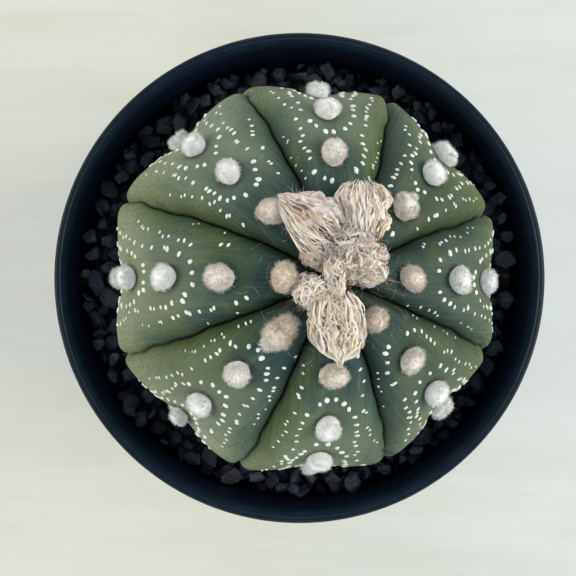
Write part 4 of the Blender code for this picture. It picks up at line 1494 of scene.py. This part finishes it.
def south_flower(material):
    """A round ball of looping pale petals drawn to a short blunt point."""
    rng = np.random.default_rng(24)
    seat = Seat(0.1, -8.1, 276.0)
    ball = Seat(-0.3, -7.0, 0.0)
    length = 12.2
    stops = (
        (0.0, 2.4), (0.12, 3.1), (0.35, 3.8), (0.6, 3.9), (0.75, 3.1), (0.85, 1.5), (0.91, 0.5), (1.0, 0.35),
    )
    ribbons = partial(petals, seat, length, stops, rng)
    parts = [
        lump(seat, length * 0.88, stops, 4.2, rng, 0.84, crumple=0.28),
        ribbons(4.6, 15, 0.70, 0.36, 0.06, (0.80, 1.02), (0.0, 0.95), (0.10, 0.3), 1.1, lumps=0.14),
        ribbons(4.9, 18, 0.40, 0.16, 0.05, (0.90, 1.10), (0.0, 0.93), (0.14, 0.4), 1.0, lumps=0.14),
        ribbons(4.9, 30, 0.18, 0.08, 0.05, (0.88, 1.12), drifts=(0.12, 0.4), lumps=0.14),
        ribbons(5.0, 56, 0.06, 0.04, 0.05, (0.90, 1.14), drifts=(0.12, 0.4), sides=5, lumps=0.12),
        ribbons(4.8, 44, 0.11, 0.02, cover=(0.6, 1.02), drifts=(0.05, 0.2), short=0.2),
        ribbons(4.9, 9, 0.14, 0.14, 0.06, (1.0, 1.18), (0.0, 0.85), (0.2, 0.4)),
        ribbons(4.9, 14, 0.17, 0.70, 0.05, (0.9, 1.05), (0.15, 0.75), (0.2, 0.3)),
        wool(ball, (4.1, 4.4, 2.8), rng, 18, 0.13, 0.12, length=6.0, turning=0.3, reach=(0.92, 1.16)),
        wool(ball, (4.2, 4.4, 2.9), rng, 60, 0.05, 0.05, length=7.0, turning=0.6, reach=(0.95, 1.12)),
        stray_hairs(ball, (4.2, 4.4, 2.7), rng, 320, 1.4),
    ]
    flower_object("dried_flower_ball_south", parts, material, "dried_flower_south")


def west_flower(material):
    """Two small shrunken buds side by side under curling loops."""
    rng = np.random.default_rng(25)
    seat = Seat(-4.1, -2.4, 235.0)
    stops = ((0.0, 1.4), (0.25, 2.4), (0.55, 2.6), (0.8, 2.1), (1.0, 1.0))
    parts = [
        lump(seat, 5.4, stops, 2.9, rng, 0.84, crumple=0.4),
        petals(
            seat, 5.6, stops, rng, 3.1, 18, 0.50, 0.34, 0.05, (0.85, 1.05), drifts=(0.3, 0.3), roll=0.9,
            lumps=0.1,
        ),
        petals(seat, 5.8, stops, rng, 3.3, 34, 0.14, 0.16, 0.05, (0.85, 1.2), drifts=(0.5, 0.5)),
        stray_hairs(seat, (2.8, 2.7, 2.0), rng, 160, 1.3),
    ]
    for x, y, half in ((-4.8, -1.7, 2.3), (-3.4, -3.2, 2.2)):
        knot = Seat(x, y, rng.uniform(0.0, 360.0))
        parts += [
            wool(knot, (half, half, 1.9), rng, 16, 0.15, 0.20, length=5.5, turning=0.3),
            wool(knot, (half, half, 2.0), rng, 44, 0.05, 0.08, length=4.5, turning=0.5, reach=(0.9, 1.15)),
        ]
    flower_object("dried_flower_curl_west", parts, material, "dried_flower_west")


def crown_tangle(material):
    """The twisted trunk of old wool between the flowers, over the growing point."""
    rng = np.random.default_rng(26)
    seat = Seat(-0.3, -0.6, 268.0)
    length = 8.0
    stops = ((0.0, 2.0), (0.3, 1.9), (0.7, 1.6), (1.0, 1.8))
    bridge = Seat(1.8, 6.2, 20.0)
    joint = Seat(-1.2, 4.0, 80.0)
    bud = Seat(-3.8, 3.8, 130.0)
    ribbons = partial(petals, seat, length, stops, rng)
    parts = [
        lump(seat, length, stops, 3.4, rng, 0.80),
        ribbons(3.8, 44, 0.17, 0.18, drifts=(0.45, 0.3)),
        ribbons(4.0, 56, 0.065, 0.04, 0.04, drifts=(0.5, 0.4), sides=5),
        lump(joint, 6.4, ((0.0, 2.0), (0.5, 2.7), (1.0, 2.0)), 3.0, rng, 0.74),
        wool(joint, (3.2, 2.7, 1.9), rng, 150, 0.055, 0.34, length=4.0),
        lump(bridge, 8.0, ((0.0, 2.2), (0.5, 3.2), (1.0, 2.0)), 3.2, rng, 0.70),
        wool(bridge, (4.2, 3.3, 2.1), rng, 14, 0.36, 0.42, length=4.0, turning=0.4),
        wool(bridge, (4.3, 3.4, 2.1), rng, 220, 0.055, 0.34, length=4.0, reach=(0.86, 1.1)),
        stray_hairs(bridge, (4.2, 3.3, 2.0), rng, 260, 1.1, 0.25),
        lump(bud, 4.4, ((0.0, 1.2), (0.5, 2.2), (1.0, 1.2)), 2.6, rng, 0.70),
        wool(bud, (2.3, 2.1, 1.6), rng, 180, 0.045, 0.50, length=2.5),
        stray_hairs(bud, (2.2, 2.0, 1.5), rng, 400, 0.7, 0.42),
    ]
    flower_object("crown_wool_tangle", parts, material, "crown_wool")


THREAD_POINTS = 16
STYLE_SIDES = 7
WEB_SIDES = 3
WEB_COUNT = 60


def over_skin(rng, starts, headings, lengths, lift):
    """Paths laid over the crown in plan millimetres, each bending as it goes."""
    points = THREAD_POINTS
    count = len(starts)
    bend = drift(rng, count, points, 0.5) + rng.normal(0.0, 0.25, (count, 1))
    direction = np.radians(headings)[:, None] + np.cumsum(bend, axis=1) * 2.2 / points
    step = (np.asarray(lengths) / points)[:, None]
    x = starts[:, :1] + np.cumsum(np.cos(direction) * step, axis=1)
    y = starts[:, 1:] + np.cumsum(np.sin(direction) * step, axis=1)
    arch = np.sin(np.linspace(0.12, math.pi - 0.1, points))[None, :]
    rise = lift * arch * rng.uniform(0.4, 1.2, (count, 1))
    plan = crown_plan(0.0, 0.0, 0.0)
    flat = plan((x * MM).ravel(), (y * MM).ravel(), ((0.05 + rise) * MM).ravel())
    return to_world(flat).reshape(count, points, 3)


def loose_threads(material):
    """Three dry brown styles on the skin and fine cobweb hairs drifting over it."""
    rng = np.random.default_rng(27)
    starts = np.array(((6.6, 0.5), (7.4, -5.2), (6.9, 0.9)))
    styles = over_skin(rng, starts, (322.0, 318.0, 340.0), (5.2, 3.0, 3.4), 0.8)
    wide = 0.10 * MM * np.linspace(1.0, 0.4, THREAD_POINTS)[None, :] * np.array((1.0, 0.7, 0.8))[:, None]
    style_shape = tubes(styles, wide, 0.7 * wide, STYLE_SIDES, np.zeros(3), rng)
    style_values = strand_values(rng, 3, STYLE_SIDES, THREAD_POINTS, 4.0, 0.84, 0.02)
    count = WEB_COUNT
    angle = rng.uniform(0.0, 2.0 * math.pi, count)
    distance = 3.0 + 11.0 * np.sqrt(rng.random(count))
    starts = np.stack((distance * np.cos(angle), distance * np.sin(angle) - 1.5), axis=-1)
    webs = over_skin(rng, starts, rng.uniform(0.0, 360.0, count), rng.uniform(1.0, 3.2, count), 0.35)
    wide = 0.010 * MM * rng.uniform(0.8, 1.5, (count, 1)) * np.ones((1, THREAD_POINTS))
    web_shape = tubes(webs, wide, wide, WEB_SIDES, np.zeros(count), rng)
    web_values = strand_values(rng, count, WEB_SIDES, THREAD_POINTS, 4.0, 0.2, 0.05)
    parts = [style_shape + style_values, web_shape + web_values]
    flower_object("loose_threads", parts, material)


def main():
    body_object(skin_material())
    flecks_object(fleck_material())
    make_tufts(felt_material())
    pot_object(plastic_material())
    make_gravel(gravel_material())
    make_flowers(petal_material())
    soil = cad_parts["potting_mix"]
    soil.data.materials.clear()
    soil.data.materials.append(soil_material())
    stage_and_light()


def stage_and_light():
    bpy.ops.mesh.primitive_plane_add(size=3.0, location=(0.0, 0.0, 0.0))
    floor = bpy.context.object
    floor.name = "floor"
    floor.data.materials.append(floor_material())
    world_light()
    area_light("east_light", (0.75, 0.0, 0.42), 0.6, 6.9, (1.0, 0.97, 0.92))
    area_light("west_light", (-0.75, 0.0, 0.42), 0.6, 5.3, (1.0, 0.95, 0.85))
    area_light("north_light", (0.0, 0.75, 0.45), 0.6, 2.1, (0.84, 0.93, 1.0))
    area_light("south_light", (0.0, -0.75, 0.45), 0.6, 2.1, (0.84, 0.93, 1.0))
    camera()


def world_light():
    world = bpy.data.worlds.new("soft_room")
    bpy.context.scene.world = world
    world.use_nodes = True
    tree = world.node_tree
    background = tree.nodes["Background"]
    place = tree.nodes.new("ShaderNodeTexCoord")
    split = tree.nodes.new("ShaderNodeSeparateXYZ")
    ramp = tree.nodes.new("ShaderNodeValToRGB")
    tree.links.new(place.outputs["Generated"], split.inputs[0])
    tree.links.new(split.outputs["Z"], ramp.inputs["Fac"])
    tree.links.new(ramp.outputs["Color"], background.inputs["Color"])
    ramp.color_ramp.elements[0].position = 0.0
    ramp.color_ramp.elements[0].color = (0.95, 0.96, 0.94, 1.0)
    ramp.color_ramp.elements[1].position = 0.9
    ramp.color_ramp.elements[1].color = (0.33, 0.40, 0.46, 1.0)
    background.inputs["Strength"].default_value = 0.64


def area_light(name, place, size, power, colour):
    data = bpy.data.lights.new(name, "AREA")
    data.shape = "SQUARE"
    data.size = size
    data.energy = power
    data.color = colour
    light = bpy.data.objects.new(name, data)
    light.location = place
    aim = Vector((0.0, 0.0, POT_HEIGHT)) - Vector(place)
    light.rotation_euler = aim.to_track_quat("-Z", "Y").to_euler()
    bpy.context.scene.collection.objects.link(light)


VIEW_HEIGHT = 230.0 * MM
VIEW_WIDTH = 105.2 * MM
VIEW_CENTRE = (-2.1 * MM, -1.83 * MM)


def camera():
    """Straight down over the pot, framing the rim with a little floor round it."""
    data = bpy.data.cameras.new("camera")
    data.sensor_width = 36.0
    data.lens = 36.0 * VIEW_HEIGHT / VIEW_WIDTH
    data.clip_start = 0.01
    eye = bpy.data.objects.new("camera", data)
    eye.location = (*VIEW_CENTRE, POT_HEIGHT + VIEW_HEIGHT)
    bpy.context.scene.collection.objects.link(eye)
    bpy.context.scene.camera = eye
    bpy.context.scene.view_settings.view_transform = "Standard"


main()
